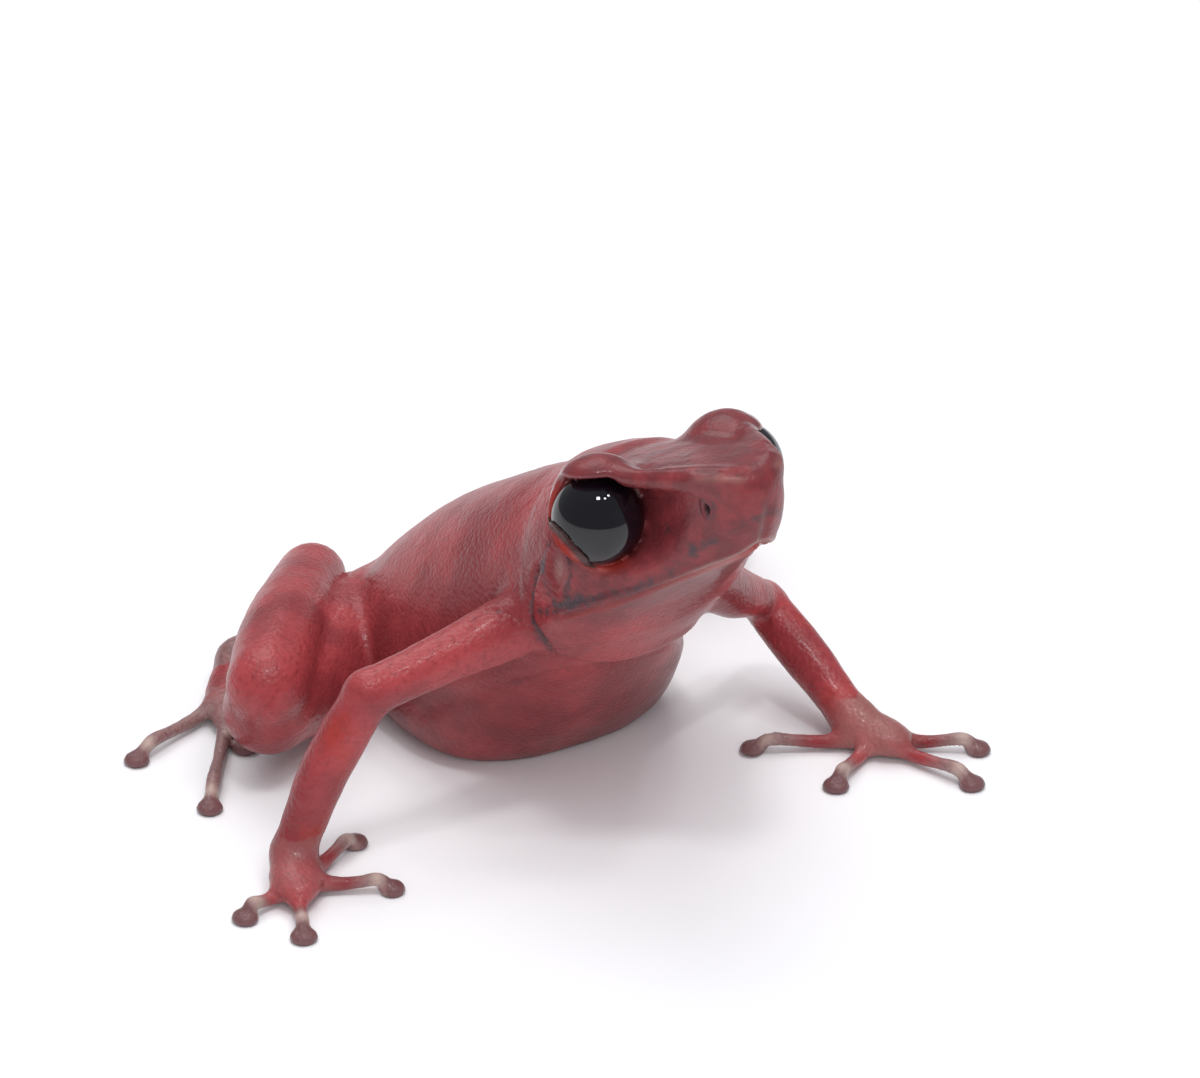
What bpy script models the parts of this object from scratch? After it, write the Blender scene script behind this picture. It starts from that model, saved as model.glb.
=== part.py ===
"""Strawberry poison dart frog at life size, sitting on its belly with its head raised.

The frog looks along -Y, its right side is at -X, and it rests on the plane z = 0.
Sizes and places are in millimetres until a mesh or a curve is made, and in metres there.
The head is drawn in its own frame (side, forward, up) and set in place by HEAD_FRAME.
"""
import math

import bmesh
import bpy
import numpy as np
from mathutils import Matrix, Vector

MM = 0.001
GAP = 0.3
FLOOR = 0.0

# Head, in its own frame: origin midway between the eyes
HEAD_PLACE = (-0.07, -6.85, 10.2)
HEAD_PITCH = 20.0
HEAD_YAW = 7.0
EYE_RADIUS = 1.24
EYE_SIDE = 2.4
EYE_LOOK = (0.75, 0.65, 0.1)
EYE_GAP = 0.2
SOCKET_RADIUS = EYE_RADIUS + EYE_GAP
LID_RADIUS = SOCKET_RADIUS + 0.2
LID_MIDDLE = (SOCKET_RADIUS + LID_RADIUS) / 2
LID_RIM_OUT = 0.4
LID_RIM_THICK = 0.12
# Hollow of the cheek in front of each eye: ends of its axis from the middle of the head, radii there, and its top
HOLLOW = ((2.52, 0.25, 0.05), (3.3, 3.6, -0.1))
HOLLOW_RADII = (1.27, 2.05)
HOLLOW_TOP = 0.95
# Ridge from each upper lid to the snout
RIDGE = ((2.1, 1.4, 1.0), (1.87, 2.0, 0.95), (1.34, 2.9, 0.84), (0.86, 3.7, 0.66))
RIDGE_RADII = (0.25, 0.25, 0.25, 0.22)
NECK_FORWARD = -2.6
# forward, top, level of the mouth, bottom, half width there, squareness above it,
# share by which it narrows to the top, forward lean of the section
HEAD_STATIONS = (
    (-3.4, 0.85, -2.75, -4.6, 3.3, 2.3, 0.1, 0.0),
    (-2.6, 0.98, -2.65, -4.3, 3.35, 2.4, 0.1, 0.0),
    (-1.6, 1.08, -2.52, -3.75, 3.2, 2.6, 0.1, 0.0),
    (-0.4, 1.14, -2.38, -3.1, 2.85, 3.0, 0.08, 0.03),
    (0.8, 1.15, -2.2, -2.65, 2.38, 4.0, 0.02, 0.09),
    (2.0, 1.1, -2.0, -2.32, 1.8, 5.0, -0.1, 0.19),
    (2.9, 0.98, -1.83, -2.05, 1.32, 5.0, -0.1, 0.28),
    (3.5, 0.82, -1.64, -1.82, 0.98, 4.4, -0.1, 0.33),
    (3.84, 0.58, -1.45, -1.6, 0.72, 3.4, -0.12, 0.34),
    (4.02, 0.24, -1.25, -1.36, 0.42, 2.6, -0.15, 0.34),
    (4.09, -0.05, -1.02, -1.1, 0.18, 2.1, -0.15, 0.34),
)
HEAD_POWER_BOTTOM = 1.9
HEAD_LEVEL = -0.6
MOUTH_CORNER = -2.1
# The lower jaw lies inside the upper by this share of its width, and its chin is this much further back
# than the lean brings it, both growing from the corner of the mouth to JAW_FULL within JAW_STEP of the lips
JAW_INSET = 0.3
CHIN = 1.3
JAW_FULL = 1.9
JAW_STEP = 0.25
# The front of the snout curls back below this level, and the neck bends to the left behind the eyes
CURL_LEVEL = -0.3
NECK_BEND = 0.12
LIP_RADIUS = 0.11
LIP_RAISE = 0.06
LIP_END = 0.06
MOUTH_GROOVE = 0.09
NOSTRIL = (1.22, 3.19, 0.01)
NOSTRIL_RADII = (0.2, 0.2, 0.3)
EARDRUM = (2.88, -1.7, -1.35)
EARDRUM_FACE = (0.95, -0.2, 0.2)
EARDRUM_RADIUS = 0.52
EARDRUM_RIM = 0.14
EARDRUM_DISH = 0.4
EARDRUM_DISH_OUT = 0.3

# Torso: the top and the bottom of each section in the middle plane, and its half width
# top y, top z, bottom y, bottom z, half width, share of the height where it is widest
TORSO_STATIONS = (
    (-4.7, 10.3, -6.0, 6.3, 2.7, 0.3),
    (-3.6, 9.8, -5.2, 5.1, 2.85, 0.34),
    (-2.3, 9.15, -4.5, 3.9, 3.05, 0.38),
    (-0.9, 8.4, -3.7, 2.6, 3.3, 0.42),
    (0.9, 7.3, -2.75, 0.9, 3.8, 0.4),
    (2.9, 6.0, -1.4, -0.35, 4.25, 0.36),
    (4.5, 4.65, 1.1, -0.5, 4.2, 0.36),
    (5.7, 3.45, 3.7, -0.3, 3.4, 0.4),
    (6.4, 2.5, 5.6, 0.3, 2.2, 0.45),
    (6.8, 1.8, 6.6, 1.0, 1.1, 0.5),
)
TORSO_POWER_TOP = 2.1
TORSO_POWER_BOTTOM = 2.6

# Limbs as joints, root first, with radii at even steps along each length. An arm has shoulder, elbow,
# the middle of the forearm and wrist.
# The left hind leg is turned further out than the right one.
ARM_RIGHT = ((-2.5, -4.2, 6.0), (-7.85, -4.2, 5.1), (-9.15, -4.0, 2.95), (-10.1, -3.95, 0.8))
ARM_LEFT = ((2.5, -4.0, 5.8), (6.3, -1.95, 2.7), (6.55, -3.85, 1.75), (6.75, -5.75, 0.75))
UPPER_ARM_RADII = (0.95, 0.85, 0.72, 0.66, 0.64)
FOREARM_RADII = (0.62, 0.68, 0.68, 0.62, 0.58)
THIGH_RIGHT = ((-2.4, 4.9, 1.8), (-5.9, 2.65, 1.75), (-8.9, 0.5, 2.25))
THIGH_LEFT = ((2.4, 4.9, 1.8), (6.0, 4.8, 1.75), (9.9, 4.6, 2.2))
THIGH_RADII = (1.35, 1.5, 1.45, 1.3, 1.15)
SHANK_RIGHT = ((-8.9, -0.1, 3.1), (-6.3, 3.3, 2.95), (-2.8, 7.6, 2.15))
SHANK_LEFT = ((9.9, 4.2, 3.0), (6.4, 5.6, 2.9), (2.6, 7.4, 1.8))
SHANK_RADII = (1.0, 1.15, 1.2, 1.1, 0.95)
TARSUS_RIGHT = ((-2.9, 7.5, 0.9), (-4.6, 7.1, 0.78), (-6.2, 6.3, 0.7))
TARSUS_LEFT = ((2.5, 7.6, 0.9), (3.5, 8.3, 0.78), (4.6, 8.7, 0.7))
TARSUS_RADII = (0.62, 0.55, 0.5, 0.5, 0.55)
ROOT_OUT = 1.3
# How far a piece runs on past the plane that cuts it
RUN_ON = 0.4

# Tips of the digits on the floor, first to last
FINGERS_RIGHT = ((-7.9, -3.4), (-8.25, -6.02), (-11.45, -6.88), (-12.31, -5.22))
FINGERS_LEFT = ((4.02, -4.89), (4.87, -7.82), (8.12, -9.73), (9.38, -8.24))
TOES_RIGHT = ((-6.4, 4.4), (-7.0, 3.5), (-7.95, 2.65), (-10.37, 0.29), (-10.84, 3.67))
TOES_LEFT = ((6.2, 7.9), (7.1, 7.5), (8.3, 7.2), (11.2, 7.0), (9.6, 9.5))
PALM = (1.15, 0.72, 0.5)
SOLE = (1.9, 0.75, 0.42)
# Share of the palm's length from wrist to the palm's middle, share of its width from there to a digit's base
PALM_OUT = 0.75
DIGIT_BASE = 0.5
PALM_ROOT_RADIUS = 0.35
DIGIT_RADIUS = 0.25
DIGIT_BASE_RADIUS = 0.29
DIGIT_BASE_HEIGHT = 0.36
DIGIT_ARCH = 0.45
DIGIT_END_HEIGHT = 0.2
DIGIT_END_BACK = 0.1
DISC = (0.36, 0.38, 0.21)
DISC_HEIGHT = DISC[2] / 2

# Colour, roughness
SKIN_RED = ((0.36, 0.045, 0.04), 0.35)
EYE_BLACK = ((0.006, 0.006, 0.008), 0.05)


def clear_scene():
    """Empty the file of its starting objects."""
    for thing in list(bpy.data.objects):
        bpy.data.objects.remove(thing, do_unlink=True)


def head_frame():
    """The matrix that sets the head's own frame (side, -forward, up) in the model."""
    turn = Matrix.Rotation(math.radians(HEAD_YAW), 4, "Z") @ Matrix.Rotation(math.radians(-HEAD_PITCH), 4, "X")
    return Matrix.Translation(Vector(HEAD_PLACE)) @ turn


HEAD_FRAME = head_frame()


def in_head(side, forward, up):
    """A point of the head's frame in the model, in millimetres."""
    return HEAD_FRAME @ Vector((side, -forward, up))


def turn_in_head(side, forward, up):
    """A direction of the head's frame in the model."""
    return (HEAD_FRAME.to_3x3() @ Vector((side, -forward, up))).normalized()


def smooth_rows(rows, count):
    """Read rows at even steps along a Catmull-Rom curve through them."""
    rows = np.array(rows, float)
    padded = np.vstack([2 * rows[0] - rows[1], rows, 2 * rows[-1] - rows[-2]])
    place = np.linspace(0, len(rows) - 1, count)
    first = np.minimum(place.astype(int), len(rows) - 2)
    t = (place - first)[:, None]
    p0, p1, p2, p3 = (padded[first + k] for k in range(4))
    return 0.5 * (2 * p1 + (p2 - p0) * t + (2 * p0 - 5 * p1 + 4 * p2 - p3) * t ** 2
                  + (3 * p1 - p0 - 3 * p2 + p3) * t ** 3)


def superellipse(count, power_up, power_down):
    """Unit section: side and height round a ring, starting at +side."""
    angle = np.linspace(0, 2 * math.pi, count, endpoint=False)
    power = np.where(np.sin(angle) >= 0, power_up, power_down)
    side = np.sign(np.cos(angle)) * np.abs(np.cos(angle)) ** (2 / power)
    height = np.sign(np.sin(angle)) * np.abs(np.sin(angle)) ** (2 / power)
    return side, height


def mesh_object(name, bm):
    """Make an object of a bmesh, with its faces pointing outwards."""
    bmesh.ops.recalc_face_normals(bm, faces=bm.faces)
    mesh = bpy.data.meshes.new(name)
    bm.to_mesh(mesh)
    bm.free()
    thing = bpy.data.objects.new(name, mesh)
    bpy.context.scene.collection.objects.link(thing)
    return thing


def loft(name, rings):
    """Join rings of unlike sections into one closed solid with flat ends."""
    bm = bmesh.new()
    loops = [[bm.verts.new(Vector(point) * MM) for point in ring] for ring in rings]
    for low, high in zip(loops, loops[1:]):
        for i in range(len(low)):
            j = (i + 1) % len(low)
            bm.faces.new((low[i], low[j], high[j], high[i]))
    bm.faces.new(loops[0])
    bm.faces.new(loops[-1])
    return mesh_object(name, bm)


def ball(name, centre, radii, frame=None, rings=12):
    """An ellipsoid whose radii lie along the axes of a 3x3 frame."""
    bm = bmesh.new()
    bmesh.ops.create_uvsphere(bm, u_segments=2 * rings, v_segments=rings, radius=1.0)
    turn = frame.to_4x4() if frame else Matrix.Identity(4)
    size = Matrix.Diagonal(Vector((*radii, 1.0)))
    bm.transform(Matrix.Scale(MM, 4) @ Matrix.Translation(Vector(centre)) @ turn @ size)
    return mesh_object(name, bm)


def frame_along(direction, up=(0.0, 0.0, 1.0)):
    """A 3x3 frame whose X runs along a direction and whose Z is as near to up as it can be."""
    x = Vector(direction).normalized()
    y = Vector(up).cross(x).normalized()
    return Matrix((x, y, x.cross(y))).transposed()


def ring_bar(name, centre, face, radius, thick):
    """A torus round the direction that it faces."""
    bpy.ops.mesh.primitive_torus_add(major_segments=28, minor_segments=8,
                                     major_radius=radius * MM, minor_radius=thick * MM)
    thing = bpy.context.active_object
    thing.name = name
    thing.data.transform(Matrix.Translation(Vector(centre) * MM)
                         @ Vector(face).to_track_quat("Z", "Y").to_matrix().to_4x4())
    return thing


def tube(name, points, radii, count, sides=12, round_start=False, round_end=False):
    """A round bar along a smooth path, made as a bevelled curve and turned into a mesh."""
    path = smooth_rows(points, count)
    thick = smooth_rows(np.array(radii, float)[:, None], count)[:, 0]
    run = np.concatenate([[0], np.cumsum(np.linalg.norm(np.diff(path, axis=0), axis=1))])
    path, thick = end_caps(path, thick, run, round_start, round_end)
    data = bpy.data.curves.new(name, "CURVE")
    data.dimensions = "3D"
    data.bevel_depth = MM
    data.bevel_resolution = sides // 4
    data.use_fill_caps = True
    spline = data.splines.new("POLY")
    spline.points.add(len(path) - 1)
    for knot, point, radius in zip(spline.points, path, thick):
        knot.co = (*(point * MM), 1.0)
        knot.radius = radius
    curve = bpy.data.objects.new(name + "_curve", data)
    bpy.context.scene.collection.objects.link(curve)
    return curve_to_mesh(curve, name)


def end_caps(path, thick, run, round_start, round_end):
    """Add close points at an end, where the radius falls as on a ball."""
    angles = np.radians([80.0, 60.0, 35.0])
    places = list(run)
    if round_start:
        places = [thick[0] * (1 - math.sin(a)) for a in angles] + [p for p in places if p > thick[0]]
    if round_end:
        end = run[-1]
        places = [p for p in places if p < end - thick[-1]] + \
                 [end - thick[-1] * (1 - math.sin(a)) for a in angles[::-1]]
    places = np.array(places)
    new_path = np.stack([np.interp(places, run, path[:, k]) for k in range(3)], axis=1)
    new_thick = np.interp(places, run, thick)
    if round_start:
        near = np.clip(1 - places / thick[0], 0, 1)
        new_thick = new_thick * np.sqrt(1 - near ** 2)
    if round_end:
        near = np.clip(1 - (run[-1] - places) / thick[-1], 0, 1)
        new_thick = new_thick * np.sqrt(1 - near ** 2)
    return new_path, new_thick


def curve_to_mesh(curve, name):
    """Replace a curve by a welded mesh object."""
    depsgraph = bpy.context.evaluated_depsgraph_get()
    mesh = bpy.data.meshes.new_from_object(curve.evaluated_get(depsgraph))
    bpy.data.objects.remove(curve, do_unlink=True)
    bm = bmesh.new()
    bm.from_mesh(mesh)
    bpy.data.meshes.remove(mesh)
    bmesh.ops.remove_doubles(bm, verts=bm.verts, dist=0.00001)
    return mesh_object(name, bm)


def boolean(target, pieces, operation):
    """Union or cut a mesh object with others, which are then removed."""
    group = bpy.data.collections.new("pieces_of_" + target.name)
    for piece in pieces:
        group.objects.link(piece)
    modifier = target.modifiers.new(operation.lower(), "BOOLEAN")
    modifier.operation = operation
    modifier.operand_type = "COLLECTION"
    modifier.collection = group
    modifier.solver = "EXACT"
    depsgraph = bpy.context.evaluated_depsgraph_get()
    mesh = bpy.data.meshes.new_from_object(target.evaluated_get(depsgraph))
    target.modifiers.clear()
    target.data = mesh
    for piece in pieces:
        bpy.data.objects.remove(piece, do_unlink=True)
    bpy.data.collections.remove(group)
    keep_largest(target)
    return target


def keep_largest(thing):
    """Keep only the closed surface with the most vertices."""
    bm = bmesh.new()
    bm.from_mesh(thing.data)
    bmesh.ops.remove_doubles(bm, verts=bm.verts, dist=0.000002)
    left = set(bm.verts)
    shells = []
    while left:
        stack = [left.pop()]
        shell = set(stack)
        while stack:
            for edge in stack.pop().link_edges:
                for vert in edge.verts:
                    if vert in left:
                        left.discard(vert)
                        shell.add(vert)
                        stack.append(vert)
        shells.append(shell)
    shells.sort(key=len, reverse=True)
    for shell in shells[1:]:
        bmesh.ops.delete(bm, geom=list(shell), context="VERTS")
    bm.to_mesh(thing.data)
    bm.free()


def cut_flat(thing, point, outward, step_back=0.0):
    """Cut an object off at a plane and close it with a flat face."""
    outward = Vector(outward).normalized()
    place = (Vector(point) - outward * step_back) * MM
    bm = bmesh.new()
    bm.from_mesh(thing.data)
    bmesh.ops.bisect_plane(bm, geom=bm.verts[:] + bm.edges[:] + bm.faces[:], dist=1e-7,
                           plane_co=place, plane_no=outward, clear_outer=True)
    open_edges = [edge for edge in bm.edges if edge.is_boundary]
    bmesh.ops.holes_fill(bm, edges=open_edges, sides=0)
    bmesh.ops.recalc_face_normals(bm, faces=bm.faces)
    bm.to_mesh(thing.data)
    bm.free()
    return thing


def head_point(row, side, height):
    """A point of a head section, from unit side and height, widest at the mouth."""
    forward, top, mouth, bottom, half, _, narrowing, lean = row
    up = mouth + height * (top - mouth if height >= 0 else mouth - bottom)
    grown = min(max((forward - MOUTH_CORNER) / (JAW_FULL - MOUTH_CORNER), 0), 1)
    under = grown * (1 - math.exp(min(up - mouth, 0) / JAW_STEP))
    side = half * side * (1 - narrowing * max(height, 0) - JAW_INSET * under) + NECK_BEND * max(-forward, 0)
    curl = max(CURL_LEVEL - up, 0) ** 2
    return in_head(side, forward + lean * (up - HEAD_LEVEL - curl - CHIN * under), up)


def head_ring(row, count=36):
    """One section of the head as points in the model."""
    return [head_point(row, s, h) for s, h in zip(*superellipse(count, row[5], HEAD_POWER_BOTTOM))]


def mouth_path(height):
    """Points round the jaw at a share of the height above the mouth, from corner to corner."""
    rows = [row for row in smooth_rows(HEAD_STATIONS, 26) if row[0] > MOUTH_CORNER]
    right = [head_point(row, 1, height) for row in rows]
    left = [head_point(row, -1, height) for row in rows]
    return right + left[::-1]


def on_side(points, sign):
    """Points of the head's frame, given for the left side, on one side of the model."""
    return [in_head(sign * side, forward, up) for side, forward, up in points]


def make_head():
    """The head: skull and jaw, hollow cheeks, lids round the sockets, lips, mouth line, nostrils and ear drums."""
    head = loft("head", [head_ring(row) for row in smooth_rows(HEAD_STATIONS, 20)])
    hollows = []
    for sign in (-1, 1):
        hollow = tube("hollow", on_side(HOLLOW, sign), HOLLOW_RADII, 4, sides=16)
        hollows.append(cut_flat(hollow, in_head(0, 0, HOLLOW_TOP), turn_in_head(0, 0, 1)))
    boolean(head, hollows, "DIFFERENCE")
    added = [tube("lips", mouth_path(LIP_RAISE), (LIP_END, LIP_RADIUS, LIP_RADIUS, LIP_END), 36, sides=8)]
    removed = [tube("groove", mouth_path(0.0), (MOUTH_GROOVE,) * 4, 36, sides=8)]
    for sign in (-1, 1):
        eye = in_head(sign * EYE_SIDE, 0, 0)
        look = turn_in_head(sign * EYE_LOOK[0], EYE_LOOK[1], EYE_LOOK[2])
        lid = ball("lid", eye, (LID_RADIUS,) * 3, rings=13)
        cut_flat(lid, eye + look * LID_RIM_OUT, look)
        rim = ring_bar("rim", eye + look * LID_RIM_OUT, look,
                       math.sqrt(LID_MIDDLE ** 2 - LID_RIM_OUT ** 2), LID_RIM_THICK)
        ridge = tube("ridge", on_side(RIDGE, sign), RIDGE_RADII, 8, sides=8, round_end=True)
        drum_face = turn_in_head(sign * EARDRUM_FACE[0], EARDRUM_FACE[1], EARDRUM_FACE[2])
        drum = in_head(sign * EARDRUM[0], EARDRUM[1], EARDRUM[2])
        ear = ring_bar("ear", drum, drum_face, EARDRUM_RADIUS, EARDRUM_RIM)
        added += [lid, rim, ridge, ear]
        socket = ball("socket", eye, (SOCKET_RADIUS,) * 3, rings=13)
        nose = in_head(sign * NOSTRIL[0], NOSTRIL[1], NOSTRIL[2])
        nostril = ball("nostril", nose, NOSTRIL_RADII, rings=8)
        dish = ball("dish", drum + drum_face * EARDRUM_DISH_OUT, (EARDRUM_DISH,) * 3, rings=8)
        removed += [socket, nostril, dish]
    boolean(head, added, "UNION")
    boolean(head, removed, "DIFFERENCE")
    cut_flat(head, in_head(0, NECK_FORWARD, 0), turn_in_head(0, -1, 0), GAP / 2)
    return head


def make_eye(name, sign):
    """One eyeball, a ball that shows through the open lids."""
    return ball(name, in_head(sign * EYE_SIDE, 0, 0), (EYE_RADIUS,) * 3, rings=14)


def torso_ring(row, count=36):
    """One section of the torso, leaning with the line from its top to its bottom."""
    top_y, top_z, bottom_y, bottom_z, half, widest = row
    side, height = superellipse(count, TORSO_POWER_TOP, TORSO_POWER_BOTTOM)
    along = widest + height * np.where(height >= 0, 1 - widest, widest)
    return [Vector((half * s, bottom_y + (top_y - bottom_y) * a, bottom_z + (top_z - bottom_z) * a))
            for s, a in zip(side, along)]


def make_torso():
    """The torso: trunk from neck to vent with a flat belly, and a stub for each limb."""
    torso = loft("torso", [torso_ring(row) for row in smooth_rows(TORSO_STATIONS, 22)])
    cut_flat(torso, in_head(0, NECK_FORWARD, 0), turn_in_head(0, 1, 0), GAP / 2)
    roots = [(joints[:2], UPPER_ARM_RADII) for joints in (ARM_RIGHT, ARM_LEFT)]
    roots += [(joints, THIGH_RADII) for joints in (THIGH_RIGHT, THIGH_LEFT)]
    stubs = [limb_stub(joints, radii) for joints, radii in roots]
    clearances = []
    for joints, radii in roots:
        fat = tube("fat", joints, [r + GAP for r in radii], 8)
        clearances.append(cut_flat(fat, root_plane(joints), direction(joints[1], joints[0]), -GAP / 2))
    for joints in (SHANK_RIGHT, SHANK_LEFT):
        clearances.append(tube("fat", joints, [r + GAP for r in SHANK_RADII], 8, round_end=True))
    boolean(torso, stubs, "UNION")
    boolean(torso, clearances, "DIFFERENCE")
    cut_flat(torso, (0, 0, FLOOR), (0, 0, -1))
    return torso


def direction(start, end):
    """Unit vector from one point to another."""
    return (Vector(end) - Vector(start)).normalized()


def root_plane(joints):
    """Where a limb leaves the torso, along its first length."""
    return Vector(joints[0]) + direction(joints[0], joints[1]) * ROOT_OUT


def limb_stub(joints, radii):
    """The short root of a limb that is part of the torso."""
    along = direction(joints[0], joints[1])
    end = root_plane(joints) + along * RUN_ON
    stub = tube("stub", [joints[0], Vector(joints[0]).lerp(end, 0.5), end], [radii[0]] * 3, 4)
    return cut_flat(stub, root_plane(joints), along, GAP / 2)


def make_arm(side, joints, tips):
    """Upper arm, forearm and hand of one side."""
    shoulder, elbow, middle, wrist = (Vector(joint) for joint in joints)
    at_elbow = (direction(shoulder, elbow) + direction(elbow, middle)).normalized()
    upper = tube("upper_arm_" + side, [shoulder, shoulder.lerp(elbow, 0.5), elbow + at_elbow * RUN_ON],
                 UPPER_ARM_RADII, 9)
    cut_flat(upper, root_plane(joints), direction(elbow, shoulder), GAP / 2)
    cut_flat(upper, elbow, at_elbow, GAP / 2)
    into_hand = direction(middle, wrist)
    fore = tube("forearm_" + side, [elbow - at_elbow * RUN_ON, middle, wrist + into_hand * RUN_ON],
                FOREARM_RADII, 9)
    cut_flat(fore, elbow, -at_elbow, GAP / 2)
    hand_run = (Vector((*tips[2], DIGIT_BASE_HEIGHT)) - wrist).normalized()
    at_wrist = (into_hand + hand_run).normalized()
    cut_flat(fore, wrist, at_wrist, GAP / 2)
    hand = make_hand("hand_" + side, wrist, hand_run, at_wrist, tips, PALM, FOREARM_RADII[-1])
    return [upper, fore, hand]


def make_hand(name, root, run, root_face, tips, palm, root_radius):
    """Palm or sole with its digits, each ending in a disc, all with flats on the floor."""
    flat_run = Vector((run.x, run.y, 0)).normalized()
    centre = Vector((root.x, root.y, palm[2])) + flat_run * palm[0] * PALM_OUT
    body = ball(name, centre, palm, frame_along(flat_run), rings=10)
    pieces = [tube("root", [root - root_face * RUN_ON, root.lerp(centre, 0.4), centre],
                   (root_radius, root_radius, PALM_ROOT_RADIUS), 5)]
    for tip in tips:
        end = Vector((*tip, DISC_HEIGHT))
        along = (end - centre) * Vector((1, 1, 0))
        along.normalize()
        base = centre + along * palm[1] * DIGIT_BASE
        base.z = DIGIT_BASE_HEIGHT
        knuckle = base.lerp(end, 0.5)
        knuckle.z = DIGIT_ARCH
        stop = end - along * DIGIT_END_BACK
        stop.z = DIGIT_END_HEIGHT
        pieces.append(tube("digit", [base, knuckle, stop], (DIGIT_BASE_RADIUS, DIGIT_RADIUS, DIGIT_RADIUS),
                           6, sides=8))
        pieces.append(ball("disc", end, DISC, frame_along(along), rings=6))
    boolean(body, pieces, "UNION")
    cut_flat(body, root, -root_face, GAP / 2)
    cut_flat(body, (0, 0, FLOOR), (0, 0, -1))
    return body


def make_leg(side, thigh_path, shank_path, tarsus_path, toes):
    """Thigh, shank, tarsus and foot of one side, folded as the frog sits."""
    thigh = tube("thigh_" + side, thigh_path, THIGH_RADII, 12, sides=16, round_end=True)
    cut_flat(thigh, root_plane(thigh_path), direction(thigh_path[1], thigh_path[0]), GAP / 2)
    shank = tube("shank_" + side, shank_path, SHANK_RADII, 12, sides=16, round_start=True, round_end=True)
    run = direction(shank_path[0], shank_path[2])
    between = (Vector(thigh_path[1]) + Vector(shank_path[1])) / 2
    apart = Vector(shank_path[1]) - Vector(thigh_path[1])
    apart = (apart - run * apart.dot(run)).normalized()
    cut_flat(thigh, between, apart, GAP / 2)
    cut_flat(shank, between, -apart, GAP / 2)
    shank_end, heel, ankle = (Vector(point) for point in (shank_path[2], tarsus_path[0], tarsus_path[2]))
    tarsus = tube("tarsus_" + side, tarsus_path, TARSUS_RADII, 8, round_start=True)
    at_heel = direction(shank_end, heel)
    cut_flat(shank, shank_end.lerp(heel, 0.6), at_heel, GAP / 2)
    cut_flat(tarsus, shank_end.lerp(heel, 0.6), -at_heel, GAP / 2)
    foot_run = (Vector((*toes[3], 0.3)) - ankle).normalized()
    at_ankle = (direction(heel, ankle) + foot_run).normalized()
    cut_flat(tarsus, ankle, at_ankle, GAP / 2)
    foot = make_hand("foot_" + side, ankle, foot_run, at_ankle, toes, SOLE, TARSUS_RADII[-1])
    return [thigh, shank, tarsus, foot]


def finish(thing, group, colour, roughness):
    """Give a node its material, smooth shading and its place in the frog's collection."""
    material = bpy.data.materials.new(thing.name + "_finish")
    material.use_nodes = True
    shader = material.node_tree.nodes["Principled BSDF"]
    shader.inputs["Base Color"].default_value = (*colour, 1.0)
    shader.inputs["Roughness"].default_value = roughness
    shader.inputs["Metallic"].default_value = 0.0
    thing.data.materials.clear()
    thing.data.materials.append(material)
    thing.data.shade_smooth()
    for holder in list(thing.users_collection):
        holder.objects.unlink(thing)
    group.objects.link(thing)


def main():
    """Build every node of the frog."""
    clear_scene()
    group = bpy.data.collections.new("strawberry_poison_dart_frog")
    bpy.context.scene.collection.children.link(group)
    flesh = [make_head(), make_torso()]
    flesh += make_arm("right", ARM_RIGHT, FINGERS_RIGHT)
    flesh += make_arm("left", ARM_LEFT, FINGERS_LEFT)
    flesh += make_leg("right", THIGH_RIGHT, SHANK_RIGHT, TARSUS_RIGHT, TOES_RIGHT)
    flesh += make_leg("left", THIGH_LEFT, SHANK_LEFT, TARSUS_LEFT, TOES_LEFT)
    for thing in flesh:
        finish(thing, group, *SKIN_RED)
    for name, sign in (("eye_right", -1), ("eye_left", 1)):
        finish(make_eye(name, sign), group, *EYE_BLACK)


main()
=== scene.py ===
"""Looks of the strawberry poison dart frog: one wet red skin, two black eyes and a pale stage.

The skin is worked out as a distance field. Torso, head and limbs are surfaces of two parameters, their
distances melt into one another, and the zero level becomes one mesh. Creases, lips, lids, nostrils and
ear drums are then moved in its points by formula, and the same formulas paint its marks.
Sizes and places are in millimetres until a mesh is made. The frog looks along -Y.
"""
import math

import bmesh
import bpy
import numpy as np
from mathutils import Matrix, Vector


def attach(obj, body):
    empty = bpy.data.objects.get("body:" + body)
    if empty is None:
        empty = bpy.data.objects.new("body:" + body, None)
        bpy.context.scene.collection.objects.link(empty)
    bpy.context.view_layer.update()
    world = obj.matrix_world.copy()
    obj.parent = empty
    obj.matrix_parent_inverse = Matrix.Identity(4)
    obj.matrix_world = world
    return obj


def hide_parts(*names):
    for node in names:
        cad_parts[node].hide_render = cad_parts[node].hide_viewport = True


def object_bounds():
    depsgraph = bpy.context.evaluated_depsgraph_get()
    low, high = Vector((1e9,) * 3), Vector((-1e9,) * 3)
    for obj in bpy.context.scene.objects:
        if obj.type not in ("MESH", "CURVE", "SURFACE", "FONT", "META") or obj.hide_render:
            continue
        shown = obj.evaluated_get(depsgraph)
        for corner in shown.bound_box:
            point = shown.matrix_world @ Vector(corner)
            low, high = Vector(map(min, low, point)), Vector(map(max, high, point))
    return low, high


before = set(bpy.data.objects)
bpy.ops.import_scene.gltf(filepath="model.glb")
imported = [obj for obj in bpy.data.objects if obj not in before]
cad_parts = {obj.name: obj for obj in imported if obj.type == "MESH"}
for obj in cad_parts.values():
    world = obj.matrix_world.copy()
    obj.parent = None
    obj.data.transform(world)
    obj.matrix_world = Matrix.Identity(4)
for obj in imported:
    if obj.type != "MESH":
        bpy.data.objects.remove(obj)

import openvdb
from mathutils import Matrix, Vector

bl_info = {
    "name": "Strawberry poison dart frog",
    "version": (1, 0, 0),
    "blender": (4, 5, 0),
    "location": "3D View > Sidebar > Frog",
    "description": "Builds the skin, the eyes and the stage of a life-size frog",
    "category": "Object",
}

MM = 0.001
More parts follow.
